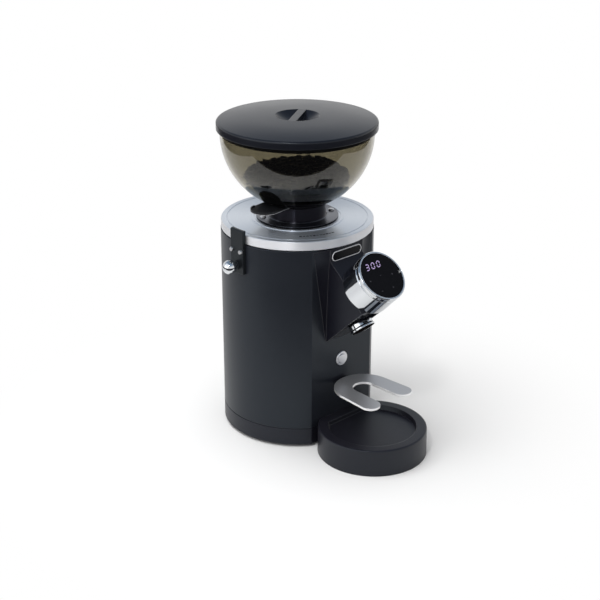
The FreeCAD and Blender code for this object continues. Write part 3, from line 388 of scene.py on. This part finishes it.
turned, strand = finish_of("turned_aluminium")
reach = from_axis(strand)
lathe = turning(strand, reach + strand.place().part("Z"), 2600.0, 3.0)
bands = turning(strand, reach, 190.0, 2.0)
smear = strand.noise(26.0, detail=3.0)
side = reach.between(ring_side - side_blend, ring_side)
face_tone = (lathe * 0.5 + bands * 0.4 + smear * 0.1).shade((0.57, 0.615, 0.675), (0.69, 0.735, 0.795))
side_tone = lathe.shade((0.90, 0.90, 0.92), (0.97, 0.97, 0.98))
surface(
    strand,
    Base_Color=side.shade(face_tone, side_tone),
    Metallic=0.85,
    Roughness=0.25 + side * 0.31 + lathe * 0.05 + smear * 0.02,
    Anisotropic=0.94,
    Anisotropic_Rotation=0.25,
    Normal=strand.bump(lathe, 0.00002, strength=0.15, normal=strand.rounded(0.0005)),
)
dress(turned, "adjusting_ring", "index_skirt")

# Index marks on the ring. A short scale of dark painted marks round the front of the ring, where a
# pointer would read it. Every fourth mark is longer.
mark_radius, mark_count, mark_lift = 0.0606, 11, 0.00004
mark_first, mark_last = math.radians(-130), math.radians(-98)
mark_wide, mark_long, short_mark, long_every = 0.0026, 0.0024, 0.70, 4
collar_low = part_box("hopper_collar")[0].z


def asking(name, inputs):
    """A Geometry Nodes tree to hang strands on, and the inputs that it asks for."""
    tree = bpy.data.node_groups.new(name, "GeometryNodeTree")
    for label, kind in inputs.items():
        tree.interface.new_socket(label, in_out="INPUT", socket_type="NodeSocket" + kind)
    tree.interface.new_socket("Geometry", in_out="OUTPUT", socket_type="NodeSocketGeometry")
    given = tree.nodes.new("NodeGroupInput").outputs
    return Strand(tree), {label: Strand(tree, given[label]) for label in inputs}


def handed_over(start, instances, material):
    """Close a tree: its instances as one real mesh with a finish."""
    real = start.node("GeometryNodeRealizeInstances", None, {"Geometry": instances})
    coated = start.node("GeometryNodeSetMaterial", None, {"Geometry": real, "Material": material})
    start.node("NodeGroupOutput", None, {"Geometry": coated})


def baked(tree, name, values):
    """Run a tree once on an empty mesh and keep what it makes as a plain mesh object."""
    carrier = bpy.data.objects.new(name, bpy.data.meshes.new(name))
    bpy.context.scene.collection.objects.link(carrier)
    modifier = carrier.modifiers.new("make", "NODES")
    modifier.node_group = tree
    for item in tree.interface.items_tree:
        if item.in_out == "INPUT":
            modifier[item.identifier] = values[item.name]
    bpy.context.view_layer.update()
    seen = carrier.evaluated_get(bpy.context.evaluated_depsgraph_get())
    mesh = bpy.data.meshes.new_from_object(seen)
    carrier.modifiers.clear()
    carrier.data = mesh
    mesh.name = name
    return carrier


dial, asked = asking(
    "index_scale",
    {
        "Marks": "Int",
        "Radius": "Float",
        "First angle": "Float",
        "Last angle": "Float",
        "Width": "Float",
        "Length": "Float",
        "Short": "Float",
        "Long every": "Int",
        "Paint": "Material",
    },
)
one_mark = dial.node(
    "GeometryNodeMeshGrid",
    None,
    {"Size X": asked["Width"], "Size Y": asked["Length"], "Vertices X": 2, "Vertices Y": 2},
)
arc = dial.node(
    "GeometryNodeCurveArc",
    {"mode": "RADIUS"},
    {
        "Resolution": asked["Marks"],
        "Radius": asked["Radius"],
        "Start Angle": asked["First angle"],
        "Sweep Angle": asked["Last angle"] - asked["First angle"],
    },
)
dots = dial.node("GeometryNodeCurveToPoints", {"mode": "EVALUATED"}, {"Curve": arc})
since_long = dial.sum("MODULO", dial.node("GeometryNodeInputIndex"), asked["Long every"])
is_short = dial.sum("GREATER_THAN", since_long, 0.5)
share = 1.0 - is_short * (1.0 - asked["Short"])
spot = dial.node("GeometryNodeInputPosition")
bearing = dial.sum("ARCTAN2", spot.part("Y"), spot.part("X"))
marks = dial.node(
    "GeometryNodeInstanceOnPoints",
    None,
    {
        "Points": dots,
        "Instance": one_mark,
        "Rotation": dial.node("ShaderNodeCombineXYZ", None, {"Z": bearing - math.pi / 2}),
        "Scale": dial.node("ShaderNodeCombineXYZ", None, {"X": 1.0, "Y": share, "Z": 1.0}),
    },
)
handed_over(dial, marks, asked["Paint"])

mark_paint, strand = finish_of("mark_paint")
chip = strand.noise(900.0, detail=3.0, roughness=0.7)
surface(
    strand,
    Base_Color=chip.shade((0.005, 0.006, 0.010), (0.020, 0.022, 0.030)),
    Roughness=0.45 + chip * 0.2,
    Specular_IOR_Level=0.05,
)
index_marks = baked(
    dial.tree,
    "index_marks",
    {
        "Marks": mark_count,
        "Radius": mark_radius,
        "First angle": mark_first,
        "Last angle": mark_last,
        "Width": mark_wide,
        "Length": mark_long,
        "Short": short_mark,
        "Long every": long_every,
        "Paint": mark_paint,
    },
)
index_marks.data.transform(Matrix.Translation((axis_x, axis_y, collar_low + mark_lift)))
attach(index_marks, "adjuster")

# Hopper collar. A turned flange and neck, anodised black with a trace of violet and polished on top
# of the flange. Two small screws hold it on the ring, and the hopper's spigot drops into it.
flange_thick, neck_blend = 0.0023, 0.0006
polish_from, polish_to = 0.0005, 0.0002
flange_top = collar_low + flange_thick
anodised, strand = finish_of("black_anodised")
z = strand.place().part("Z")
lathe = turning(strand, from_axis(strand) + z, 2200.0, 3.0)
dye = strand.noise(30.0)
neck = z.between(flange_top, flange_top + neck_blend)
polished = z.between(flange_top - polish_from, flange_top - polish_to)
flange = polished.shade((0.010, 0.010, 0.012), (0.115, 0.120, 0.138))
surface(
    strand,
    Base_Color=(neck * (0.75 + lathe * 0.15 + dye * 0.10)).shade(flange, (0.010, 0.0085, 0.0130)),
    Metallic=1.0,
    Roughness=0.22 + neck * 0.08 + lathe * 0.04,
    Anisotropic=1.0,
    Anisotropic_Rotation=0.25,
    Normal=strand.bump(lathe, 0.00002, strength=0.2),
)
dress(anodised, "hopper_collar")

# Hopper base and bean gate. A black moulded funnel under the bowl, and the thin tongue that slides
# through it to shut the beans off, with a painted highlight along its lower edge.
funnel_plastic = moulded(
    "funnel_plastic",
    (0.007, 0.007, 0.008),
    roughness=0.40,
    grain=2200.0,
    depth=0.00005,
    shine=0.06,
)
dress(funnel_plastic, "hopper_base")
gate_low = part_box("bean_gate")[0].z
glint_from, glint_to = 0.0003, 0.0007
gate_plastic, strand = finish_of("gate_plastic")
thumbing_and_glint = strand.noise(150.0, detail=3.0)
above_edge = strand.place().part("Z").between(gate_low + glint_from, gate_low + glint_to)
# The lower edge is lightened in patches as a painted highlight.
painted_edge_glint = (1.0 - above_edge) * thumbing_and_glint.between(0.30, 0.60)
speck = strand.noise(2200.0, detail=1.0, roughness=0.6)
surface(
    strand,
    Base_Color=(thumbing_and_glint * 0.02 + painted_edge_glint).shade((0.011, 0.0115, 0.014), (0.42, 0.42, 0.44)),
    Roughness=0.30 + thumbing_and_glint * 0.10,
    Specular_IOR_Level=0.3,
    Normal=strand.bump(speck, 0.00005, strength=0.5, normal=strand.rounded(0.0006)),
)
dress(gate_plastic, "bean_gate")

# Hopper bowl. Smoked clear polycarbonate, part of a sphere, olive brown where two walls stand
# behind each other.
smoked, strand = finish_of("smoked_polycarbonate")
wipe = strand.noise(38.0, detail=3.0)
surface(
    strand,
    Base_Color=wipe.shade((0.360, 0.335, 0.256), (0.384, 0.359, 0.280)),
    Roughness=0.015 + wipe * 0.03,
    IOR=1.53,
    Transmission_Weight=1.0,
)
dress(smoked, "hopper_bowl")

# Coffee beans. A dark roast heaped in the bowl: dull, oval, flat on one side with a crease along
# it. They lie on a mound, the bean bed, and stay a little clear of the wall of the bowl.
bowl_z, bowl_inside = 0.3107, 0.0742
heap_rim_z, heap_rise, heap_floor_z, heap_back = 0.2640, 0.0102, 0.2475, 0.0040
crown_flat, crown_round = 4, 0.8
lump_high, lump_count, lump_turn = 0.0016, 3, 1.0
crown_steps, wall_steps, heap_sides = 8, 5, 40
bean_long, bean_wide, bean_high = 0.0088, 0.0068, 0.0056
flat_side, crease_deep, crease_wide, crease_sway, crease_wave = 0.45, 0.16, 0.09, 0.06, 6
bean_spacing, bean_tumble, bean_lift, bean_seed = 0.0052, 0.45, 0.0024, 23
bean_least, bean_most, beans_per_area = 0.86, 1.1, 90000.0


def heap_reach(z):
    """How far the heap goes out at a height, next to the wall of the bowl."""
    return math.sqrt((bowl_inside - heap_back) ** 2 - (bowl_z - z) ** 2)


def put_in_scene(shape, name):
    """Make an object of a bmesh, which ends with it."""
    made = bpy.data.objects.new(name, bpy.data.meshes.new(name))
    shape.to_mesh(made.data)
    shape.free()
    bpy.context.scene.collection.objects.link(made)
    return made


rim_reach = heap_reach(heap_rim_z)
profile = []
for step in range(crown_steps + 1):
    share = step / crown_steps
    crown = (1 - share ** crown_flat) ** crown_round
    profile.append((rim_reach * share, heap_rim_z + heap_rise * crown))
for step in range(1, wall_steps + 1):
    z = heap_rim_z + (heap_floor_z - heap_rim_z) * step / wall_steps
    profile.append((heap_reach(z), z))
profile.append((0.0, heap_floor_z))
heap_mesh = bmesh.new()
rings = []
for out, z in profile:
    if out == 0.0:
        rings.append([heap_mesh.verts.new((axis_x, axis_y, z))])
        continue
    ring = []
    for side in range(heap_sides):
        angle = 2 * math.pi * side / heap_sides
        lump = 0.0
        if z > heap_rim_z:
            lump = lump_high * math.sin(lump_count * angle + lump_turn) * (out / rim_reach)
        x, y = axis_x + out * math.cos(angle), axis_y + out * math.sin(angle)
        ring.append(heap_mesh.verts.new((x, y, z + lump)))
    rings.append(ring)
for inner, outer in zip(rings, rings[1:]):
    for side in range(heap_sides):
        after = (side + 1) % heap_sides
        if len(inner) == 1:
            heap_mesh.faces.new((inner[0], outer[side], outer[after]))
        elif len(outer) == 1:
            heap_mesh.faces.new((inner[side], outer[0], inner[after]))
        else:
            heap_mesh.faces.new((inner[side], outer[side], outer[after], inner[after]))
bmesh.ops.recalc_face_normals(heap_mesh, faces=heap_mesh.faces)
heap = put_in_scene(heap_mesh, "bean_bed")

bean_mesh = bmesh.new()
bmesh.ops.create_uvsphere(bean_mesh, u_segments=12, v_segments=7, radius=0.5)
for vert in bean_mesh.verts:
    x, y, z = vert.co
    if z > 0:
        off_crease = (y + crease_sway * math.sin(crease_wave * x)) / crease_wide
        z = z * flat_side - crease_deep * math.exp(-off_crease ** 2) * (1 - (2 * x) ** 4)
    vert.co = (x * bean_long, y * bean_wide, z * bean_high)
bmesh.ops.recalc_face_normals(bean_mesh, faces=bean_mesh.faces)
bean = put_in_scene(bean_mesh, "one_bean")
bean.data.shade_smooth()

roast, strand = finish_of("dark_roast")
batch = strand.noise(75.0, detail=1.0)
skin = strand.noise(900.0, detail=3.0, roughness=0.6)
surface(
    strand,
    Base_Color=(batch * 0.7 + skin * 0.3).shade((0.0060, 0.0045, 0.0032), (0.0130, 0.0095, 0.0066)),
    Roughness=0.42 + skin * 0.18,
    Specular_IOR_Level=0.08,
    Normal=strand.bump(skin, 0.0002, strength=0.4),
)
pile, asked = asking(
    "bean_heap",
    {
        "Bed": "Object",
        "Bean": "Object",
        "Spacing": "Float",
        "Tumble": "Float",
        "Lift": "Float",
        "Least": "Float",
        "Most": "Float",
        "Seed": "Int",
        "Roast": "Material",
    },
)


def drawn(low, high):
    """A random number for each bean."""
    return pile.node(
        "FunctionNodeRandomValue",
        {"data_type": "FLOAT"},
        {2: low, 3: high, "Seed": asked["Seed"]},
        out=1,
    )


def turns(across, about):
    """The three turns of a bean: two of lean and one about itself."""
    return pile.node("ShaderNodeCombineXYZ", None, {"X": across, "Y": across, "Z": about})


bed = pile.node("GeometryNodeObjectInfo", None, {"Object": asked["Bed"]}, "Geometry")
one = pile.node("GeometryNodeObjectInfo", None, {"Object": asked["Bean"], "As Instance": True}, "Geometry")
spots = pile.node(
    "GeometryNodeDistributePointsOnFaces",
    {"distribute_method": "POISSON"},
    {"Mesh": bed, "Distance Min": asked["Spacing"], "Density Max": beans_per_area, "Seed": asked["Seed"]},
)
rise = pile.node("ShaderNodeCombineXYZ", None, {"Z": drawn(0.0, asked["Lift"])})
laid = pile.node(
    "GeometryNodeInstanceOnPoints",
    None,
    {
        "Points": pile.node("GeometryNodeSetPosition", None, {"Geometry": spots, "Offset": rise}),
        "Instance": one,
        "Rotation": spots.other("Rotation"),
        "Scale": drawn(asked["Least"], asked["Most"]),
    },
)
lean = pile.node(
    "FunctionNodeRandomValue",
    {"data_type": "FLOAT_VECTOR"},
    {
        0: turns(asked["Tumble"] * -1.0, 0.0),
        1: turns(asked["Tumble"], 2 * math.pi),
        "Seed": asked["Seed"],
    },
)
tumbled = pile.node("GeometryNodeRotateInstances", None, {"Instances": laid, "Rotation": lean})
handed_over(pile, tumbled, asked["Roast"])
beans = baked(
    pile.tree,
    "coffee_beans",
    {
        "Bed": heap,
        "Bean": bean,
        "Spacing": bean_spacing,
        "Tumble": bean_tumble,
        "Lift": bean_lift,
        "Least": bean_least,
        "Most": bean_most,
        "Seed": bean_seed,
        "Roast": roast,
    },
)
bpy.data.objects.remove(bean)
heap.data.materials.append(roast)
heap.data.shade_smooth()
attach(heap, "hopper")
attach(beans, "hopper")

# Hopper lid. A black moulded dome with a dished finger cup and a bar across it, satin on top from a
# fine leathery grain. Past its flat middle the finish falls away a little faster than the solid.
lid_flat, lid_fall = 0.040, 1.08
lid_plastic, strand = finish_of("lid_plastic")
past_flat = (from_axis(strand) - lid_flat).most(0.0)
crown = strand.bump(past_flat * past_flat * -lid_fall, 1.0, normal=strand.rounded(0.0012))
flow = strand.noise(22.0, detail=3.0)
leather = strand.noise(1300.0, detail=1.0, roughness=0.6)
surface(
    strand,
    Base_Color=flow.shade((0.0042, 0.0046, 0.0080), (0.0060, 0.0066, 0.0106)),
    Roughness=0.26 + flow * 0.06,
    Specular_IOR_Level=0.33,
    Specular_Tint=(0.86, 0.94, 1.0, 1.0),
    Normal=strand.bump(leather, 0.00004, strength=0.5, normal=crown),
)
dress(lid_plastic, "hopper_lid")

# Locking plunger. A folded steel bracket in the body's black, held by two bright screws; a sprung
# pin runs in its sleeve and is drawn by a polished ball. A coil stands for the spring.
bracket_coat = powder_coat("bracket_coat", (0.0065, 0.0075, 0.0090), roughness=0.34, easing=0.0006)
dress(bracket_coat, "lock_bracket", "plunger_sleeve", "fork_arm")
dress(ground_steel, "lock_pin")
spring_wire = machined(
    "spring_wire",
    (0.55, 0.55, 0.56),
    roughness=0.28,
    along=(1.0, 1.0, 1.0),
    lines=1800.0,
)
dress(spring_wire, "lock_spring")
same_point = 0.000002


def sprung(name, node):
    """A coil in a spring's place, made from the spring's own mesh, which is then hidden."""
    wire = bmesh.new()
    wire.from_mesh(frame["nodes"][node].data)
    bmesh.ops.remove_doubles(wire, verts=wire.verts, dist=same_point)
    for face in wire.faces:
        face.smooth = True
    coil = put_in_scene(wire, name)
    coil.data.materials.append(spring_wire)
    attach(coil, "housing")
    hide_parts(node)
    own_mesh(coil)


sprung("lock_coil", "lock_spring")

chrome_colour, eased_chrome = (0.70, 0.72, 0.74), 0.0004
chrome, strand = finish_of("chrome_plate")
haze = strand.noise(55.0, detail=4.0, roughness=0.6)
surface(
    strand,
    Base_Color=haze.shade(toned(chrome_colour, 0.96), chrome_colour),
    Metallic=1.0,
    Roughness=0.035 + haze * 0.03,
    Normal=strand.rounded(eased_chrome),
)
dress(chrome, "lock_knob")

# Spout housing. A black moulded wedge on the flat front, with a pocket for the display and flared
# feet that meet the round body. Its edges carry a painted highlight.
housing_plastic = moulded(
    "housing_plastic",
    (0.0062, 0.0062, 0.0105),
    roughness=0.36,
    grain=2000.0,
    depth=0.00006,
    easing=0.0008,
    shine=0.22,
    painted_edge_lift=0.090,
)
dress(housing_plastic, "spout_housing")

# Badge. A bare pill-shaped plate at the top of the wedge: a black lacquered field inside a raised
# bright rim.
badge_wide, badge_high, badge_rim, badge_thick = 0.0402, 0.0102, 0.0009, 0.0006
badge_drop, wedge_stand = 0.0079, 0.0054
wedge_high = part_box("spout_housing")[1]
badge_z, badge_face = wedge_high.z - badge_drop, wedge_high.y - wedge_stand
brow_share, field_share, crest_share = 0.7, 0.6, 0.6
arc_steps = 14


def pill(shape, inset, proud):
    """The badge's outline, made smaller by an inset and standing proud of the wedge."""
    radius = (badge_high - inset) / 2
    verts = []
    for end in (1, -1):
        for step in range(arc_steps + 1):
            angle = math.pi * (step / arc_steps - 0.5)
            x = axis_x + end * ((badge_wide - inset) / 2 - radius + radius * math.cos(angle))
            z = badge_z + end * radius * math.sin(angle)
            verts.append(shape.verts.new((x, badge_face - proud, z)))
    return verts


badge_mesh = bmesh.new()
back = pill(badge_mesh, 0.0, 0.0)
brow = pill(badge_mesh, 0.0, badge_thick * brow_share)
crest = pill(badge_mesh, badge_rim * crest_share, badge_thick)
inner = pill(badge_mesh, badge_rim * 2, badge_thick)
field = pill(badge_mesh, badge_rim * 2, badge_thick * field_share)
for near, far in ((back, brow), (brow, crest), (crest, inner), (inner, field)):
    for here in range(len(near)):
        after = (here + 1) % len(near)
        badge_mesh.faces.new((near[here], near[after], far[after], far[here]))
plate_face = badge_mesh.faces.new(field)
badge_mesh.faces.new(list(reversed(back)))
bmesh.ops.recalc_face_normals(badge_mesh, faces=badge_mesh.faces)
plate_face.material_index = 1
badge = put_in_scene(badge_mesh, "badge")
rim_silver, strand = finish_of("badge_rim")
scuff = strand.noise(900.0, detail=3.0, roughness=0.6)
surface(
    strand,
    Base_Color=scuff.shade((0.62, 0.62, 0.64), (0.80, 0.80, 0.82)),
    Metallic=0.25,
    Roughness=0.30 + scuff * 0.12,
    Normal=strand.rounded(0.0003),
)
badge.data.materials.append(rim_silver)
lacquer_black, strand = finish_of("badge_lacquer")
veil = strand.noise(240.0, detail=3.0)
surface(
    strand,
    Base_Color=veil.shade((0.003, 0.003, 0.0035), (0.006, 0.006, 0.007)),
    Roughness=0.30 + veil * 0.08,
    Specular_IOR_Level=0.12,
    Normal=strand.bump(strand.noise(700.0), 0.00003, strength=0.4),
)
badge.data.materials.append(lacquer_black)
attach(badge, "housing")

# Display. A polished chrome drum and bezel hold a round black glass, with a lit number and faint
# touch marks on it.
dress(chrome, "display_housing", "display_bezel")
glass, strand = finish_of("display_glass")
touch = strand.noise(60.0, detail=4.0)
surface(
    strand,
    Base_Color=touch.shade((0.004, 0.004, 0.005), (0.006, 0.006, 0.0075)),
    Roughness=0.05 + touch * 0.05,
    Specular_IOR_Level=0.06,
)
dress(glass, "display_glass")

tilt, glass_thick, print_lift = math.radians(45), 0.0018, 0.00004
face_out = Vector((0, -math.cos(tilt), math.sin(tilt)))
face_up = Vector((0, math.sin(tilt), math.cos(tilt)))
face_right = Vector((1, 0, 0))
glass_low, glass_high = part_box("display_glass")
glass_middle = (glass_low + glass_high) / 2
glass_middle.x = axis_x
digit_wide, digit_high, digit_pitch, digit_lean = 0.0037, 0.0058, 0.0073, 0.27
digit_first, digit_base, stroke, stroke_gap = -0.0129, 0.0097, 0.00085, 0.35
segments_of = {"3": "abcdg", "0": "abcdef"}
touch_long, touch_thin = 0.0011, 0.00017
touch_spots = (
    (-0.0157, -0.0013),
    (-0.0003, 0.0011),
    (0.0136, -0.0014),
    (-0.0087, -0.0143),
    (0.0065, -0.0141),
)


def on_glass(right, up):
    """A point of the display's print, right and up from the middle of the glass."""
    return glass_middle + face_right * right + face_up * up + face_out * (glass_thick / 2 + print_lift)


def bar(shape, start, end):
    """One lit bar with pointed ends, leaning with the digits."""
    way = (Vector(end) - Vector(start)).normalized()
    start = Vector(start) + way * stroke * stroke_gap
    end = Vector(end) - way * stroke * stroke_gap
    side = Vector((-way.y, way.x)) * stroke / 2
    tip = way * stroke / 2
    outline = (start, start + tip - side, end - tip - side, end, end - tip + side, start + tip + side)
    verts = []
    for right, up in outline:
        verts.append(shape.verts.new(on_glass(right + (up - digit_base) * digit_lean, up)))
    shape.faces.new(verts)


def printed(shape, name, ink):
    """The print as a piece, each of its faces turned to the reader."""
    for face in shape.faces:
        face.normal_update()
        if face.normal.dot(face_out) < 0:
            face.normal_flip()
    made = put_in_scene(shape, name)
    made.data.materials.append(ink)
    return made


digit_mesh = bmesh.new()
for place, figure in enumerate("300"):
    left = digit_first + place * digit_pitch
    right = left + digit_wide
    low, middle, high = digit_base, digit_base + digit_high / 2, digit_base + digit_high
    bars = {
        "a": ((left, high), (right, high)),
        "b": ((right, middle), (right, high)),
        "c": ((right, low), (right, middle)),
        "d": ((left, low), (right, low)),
        "e": ((left, low), (left, middle)),
        "f": ((left, middle), (left, high)),
        "g": ((left, middle), (right, middle)),
    }
    for segment in segments_of[figure]:
        bar(digit_mesh, *bars[segment])
lit, strand = finish_of("lit_segments")
surface(
    strand,
    Base_Color=(0.05, 0.04, 0.06, 1.0),
    Roughness=0.3,
    Emission_Color=strand.noise(420.0).shade((0.42, 0.30, 0.62), (0.66, 0.54, 0.86)),
    Emission_Strength=0.9,
)
digits = printed(digit_mesh, "display_digits", lit)
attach(digits, "housing")

touch_mesh = bmesh.new()
for number, (right, up) in enumerate(touch_spots):
    arms = [(touch_long, touch_thin)]
    if number % 2 == 0:
        arms.append((touch_thin, touch_long))
    for wide, high in arms:
        corners = ((-wide, high), (-wide, -high), (wide, -high), (wide, high))
        verts = [touch_mesh.verts.new(on_glass(right + over, up + rise)) for over, rise in corners]
        touch_mesh.faces.new(verts)
touch_print, strand = finish_of("touch_print")
fade = strand.noise(300.0)
surface(
    strand,
    Base_Color=fade.shade((0.035, 0.033, 0.04), (0.07, 0.066, 0.08)),
    Roughness=0.3 + fade * 0.1,
)
touch_marks = printed(touch_mesh, "touch_marks", touch_print)
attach(touch_marks, "housing")

# Nozzle and chute. A short chromed spout with a rolled lip under the wedge, with painted shade inside
# its bore, and the steel chute that feeds it from the chamber.
nozzle_fall, nozzle_bore, bore_shade_blend = math.radians(47), 0.0121, 0.0002
nozzle_out = Vector((0, -math.cos(nozzle_fall), -math.sin(nozzle_fall)))
nozzle_low, nozzle_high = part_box("nozzle")
spout_plate, strand = finish_of("spout_chrome")
from_middle = strand.place().vector("SUBTRACT", (nozzle_low + nozzle_high) / 2)
off_line = from_middle.vector("CROSS_PRODUCT", nozzle_out).vector("LENGTH", out="Value")
# Inside the bore the colour turns dark, dull and unreflective: painted shade.
clear_of_bore_shade = off_line.between(nozzle_bore, nozzle_bore + bore_shade_blend)
roughness_speckle = strand.noise(500.0, detail=4.0, roughness=0.7)
surface(
    strand,
    Base_Color=clear_of_bore_shade.shade((0.008, 0.007, 0.007), chrome_colour),
    Metallic=clear_of_bore_shade,
    Roughness=0.62 - clear_of_bore_shade * 0.57 + roughness_speckle * 0.06,
    Specular_IOR_Level=0.0,
    Normal=strand.rounded(eased_chrome),
)
dress(spout_plate, "nozzle")


def brushed(name, colour, roughness, along):
    """Stainless sheet with a fine straight grain."""
    material, strand = finish_of(name)
    grain = strand.noise(1500.0, detail=3.0, roughness=0.65, stretch=along)
    haze = strand.noise(40.0, detail=3.0)
    surface(
        strand,
        Base_Color=(grain * 0.75 + haze * 0.25).shade(toned(colour, 0.8), colour),
        Metallic=1.0,
        Roughness=roughness - 0.08 + grain * 0.14 + haze * 0.06,
        Normal=strand.bump(grain, 0.00004, strength=0.35, normal=strand.rounded(0.0005)),
    )
    return material


chute_steel = brushed("chute_steel", (0.60, 0.60, 0.61), roughness=0.30, along=(0.05, 1.0, 1.0))
dress(chute_steel, "grounds_chute")

# Push button. A satin metal cap in a plain bezel ring below the spout, with its nut, its spring and
# the small switch behind the front. A coil stands for the spring here too.
button_metal = brushed("button_metal", (0.74, 0.74, 0.76), roughness=0.28, along=(1.0, 1.0, 0.06))
dress(button_metal, "push_button", "button_bezel")
dress(moulded("switch_plastic", (0.02, 0.02, 0.021), roughness=0.45), "button_switch")
dress(spring_wire, "button_spring")
sprung("button_coil", "button_spring")

# Portafilter fork. Stainless plate cut to a horseshoe, brushed along its prongs, with a painted
# highlight on its cut edges, screwed from below to a black arm on the front.
fork_steel, strand = finish_of("fork_steel")
grain = strand.noise(1500.0, detail=3.0, roughness=0.65, stretch=(1.0, 0.05, 1.0))
haze = strand.noise(40.0, detail=3.0)
slope = strand.facing().part("Z")
# Upright faces, the cut edges, are lightened as a painted highlight.
cut_edge_highlight = 1.0 - (slope * slope).between(0.3, 0.8)
surface(
    strand,
    Base_Color=(grain * 0.18 + haze * 0.06 + cut_edge_highlight * 0.76).shade((0.47, 0.47, 0.48), (0.95, 0.95, 0.95)),
    Metallic=0.8,
    Roughness=0.28 + grain * 0.14 + haze * 0.06 - cut_edge_highlight * 0.06,
    Normal=strand.bump(grain, 0.00004, strength=0.35, normal=strand.rounded(0.0005)),
)
dress(fork_steel, "portafilter_fork")

# Catch tray. A black moulded round tray with a shallow dish, drawn out to the front to be emptied.
# Its edges are well eased and lightened as a painted highlight.
tray_plastic = moulded(
    "tray_plastic",
    (0.0078, 0.0074, 0.0118),
    roughness=0.38,
    grain=1500.0,
    depth=0.00010,
    easing=0.0012,
    shine=0.34,
    painted_edge_lift=0.035,
)
dress(tray_plastic, "catch_tray")

# Table, light and camera. A table that shows the soft shadow near the grinder and is plain white
# further off, under broad lamps from above and from the left and a small one in front. Polished
# pieces mirror the table's outline with a dark room past it, and a dim ceiling.
camera_turn, camera_pitch = math.radians(43), math.radians(22.99)
camera_place, camera_lens, film_width = (-0.87106, -0.90407, 0.67889), 81.28, 36.0
toward_camera = Vector((-math.sin(camera_turn), -math.cos(camera_turn), 0))
picture_right = Vector((math.cos(camera_turn), -math.sin(camera_turn), 0))
table_size, table_front, table_left, table_right, table_edge = 9.0, 0.29, -0.69, 0.81, 0.004
shadow_near, shadow_far = 0.13, 0.36
ceiling_low, ceiling_high, ceiling_colour = 0.15, 0.80, (0.22, 0.29, 0.39)


def looked_at(strand):
    """1 for what the camera sees, straight or in metal and glass, and the part of it that is mirrored."""
    straight = strand.node("ShaderNodeLightPath", out="Is Camera Ray")
    mirrored = straight.other("Is Glossy Ray")
    return straight.most(straight.other("Is Transmission Ray")).most(mirrored), mirrored


floor_mesh = bmesh.new()
bmesh.ops.create_grid(floor_mesh, x_segments=2, y_segments=2, size=table_size / 2)
table_top = put_in_scene(floor_mesh, "table")
white, strand = finish_of("table_white")
looked, mirrored = looked_at(strand)
far = strand.place().vector("LENGTH", out="Value").between(shadow_near, shadow_far)
from_foot = strand.place().vector("SUBTRACT", (axis_x, axis_y, 0.0))
ahead = from_foot.vector("DOT_PRODUCT", toward_camera, "Value")
aside = from_foot.vector("DOT_PRODUCT", picture_right, "Value")
past_front = ahead.between(table_front - table_edge, table_front + table_edge)
past_left = 1.0 - aside.between(table_left - table_edge, table_left + table_edge)
past_right = aside.between(table_right - table_edge, table_right + table_edge)
room = past_front.most(past_left.most(past_right)) * mirrored
paper = strand.node("ShaderNodeBsdfDiffuse", None, {"Color": (0.93, 0.93, 0.93, 1.0)})
glow_colour = mirrored.shade((1.0, 1.0, 1.0), (0.92, 0.92, 0.93))
glow = strand.node("ShaderNodeEmission", None, {"Color": glow_colour})
dusk = strand.node("ShaderNodeEmission", None, {"Color": (0.05, 0.05, 0.055, 1.0)})
both = strand.node("ShaderNodeMixShader", None, {0: far * looked, 1: paper, 2: glow})
whole = strand.node("ShaderNodeMixShader", None, {0: room, 1: both, 2: dusk})
strand.node("ShaderNodeOutputMaterial", None, {"Surface": whole})
table_top.data.materials.append(white)

world = bpy.data.worlds.new("studio")
world.use_nodes = True
world.node_tree.nodes.clear()
bpy.context.scene.world = world
strand = Strand(world.node_tree)
looked, mirrored = looked_at(strand)
overhead = strand.node("ShaderNodeTexCoord", out="Generated").part("Z")
ceiling = overhead.between(ceiling_low, ceiling_high) * mirrored
sky = strand.node(
    "ShaderNodeBackground",
    None,
    {"Color": ceiling.shade((1.0, 1.0, 1.0), ceiling_colour), "Strength": 0.5 + looked * 0.5},
)
strand.node("ShaderNodeOutputWorld", None, {"Surface": sky})


def soft_lamp(name, place, aim, size, watts):
    """A square soft light that looks at a point."""
    lamp = bpy.data.lights.new(name, "AREA")
    lamp.shape = "SQUARE"
    lamp.size = size
    lamp.energy = watts
    holder = bpy.data.objects.new(name, lamp)
    holder.location = place
    holder.rotation_euler = (Vector(aim) - Vector(place)).to_track_quat("-Z", "Y").to_euler()
    bpy.context.scene.collection.objects.link(holder)
    return holder


top_light = soft_lamp("top_light", (-0.2, 0.3, 1.6), aim=(0.0, 0.0, 0.1), size=1.2, watts=14.0)
top_light.visible_glossy = False
soft_lamp("left_light", (-1.3, 0.2, 0.9), aim=(0.0, 0.0, 0.15), size=1.8, watts=8.0)
soft_lamp("front_light", (-0.915, -0.535, 1.25), aim=(0.0, 0.0, 0.20), size=0.16, watts=4.0)

eye = bpy.data.cameras.new("camera")
eye.lens = camera_lens
eye.sensor_width = film_width
eye.clip_start = 0.05
viewer = bpy.data.objects.new("camera", eye)
viewer.location = camera_place
viewer.rotation_euler = (math.pi / 2 - camera_pitch, 0.0, -camera_turn)
bpy.context.scene.collection.objects.link(viewer)
bpy.context.scene.camera = viewer
bpy.context.scene.view_settings.view_transform = "Standard"
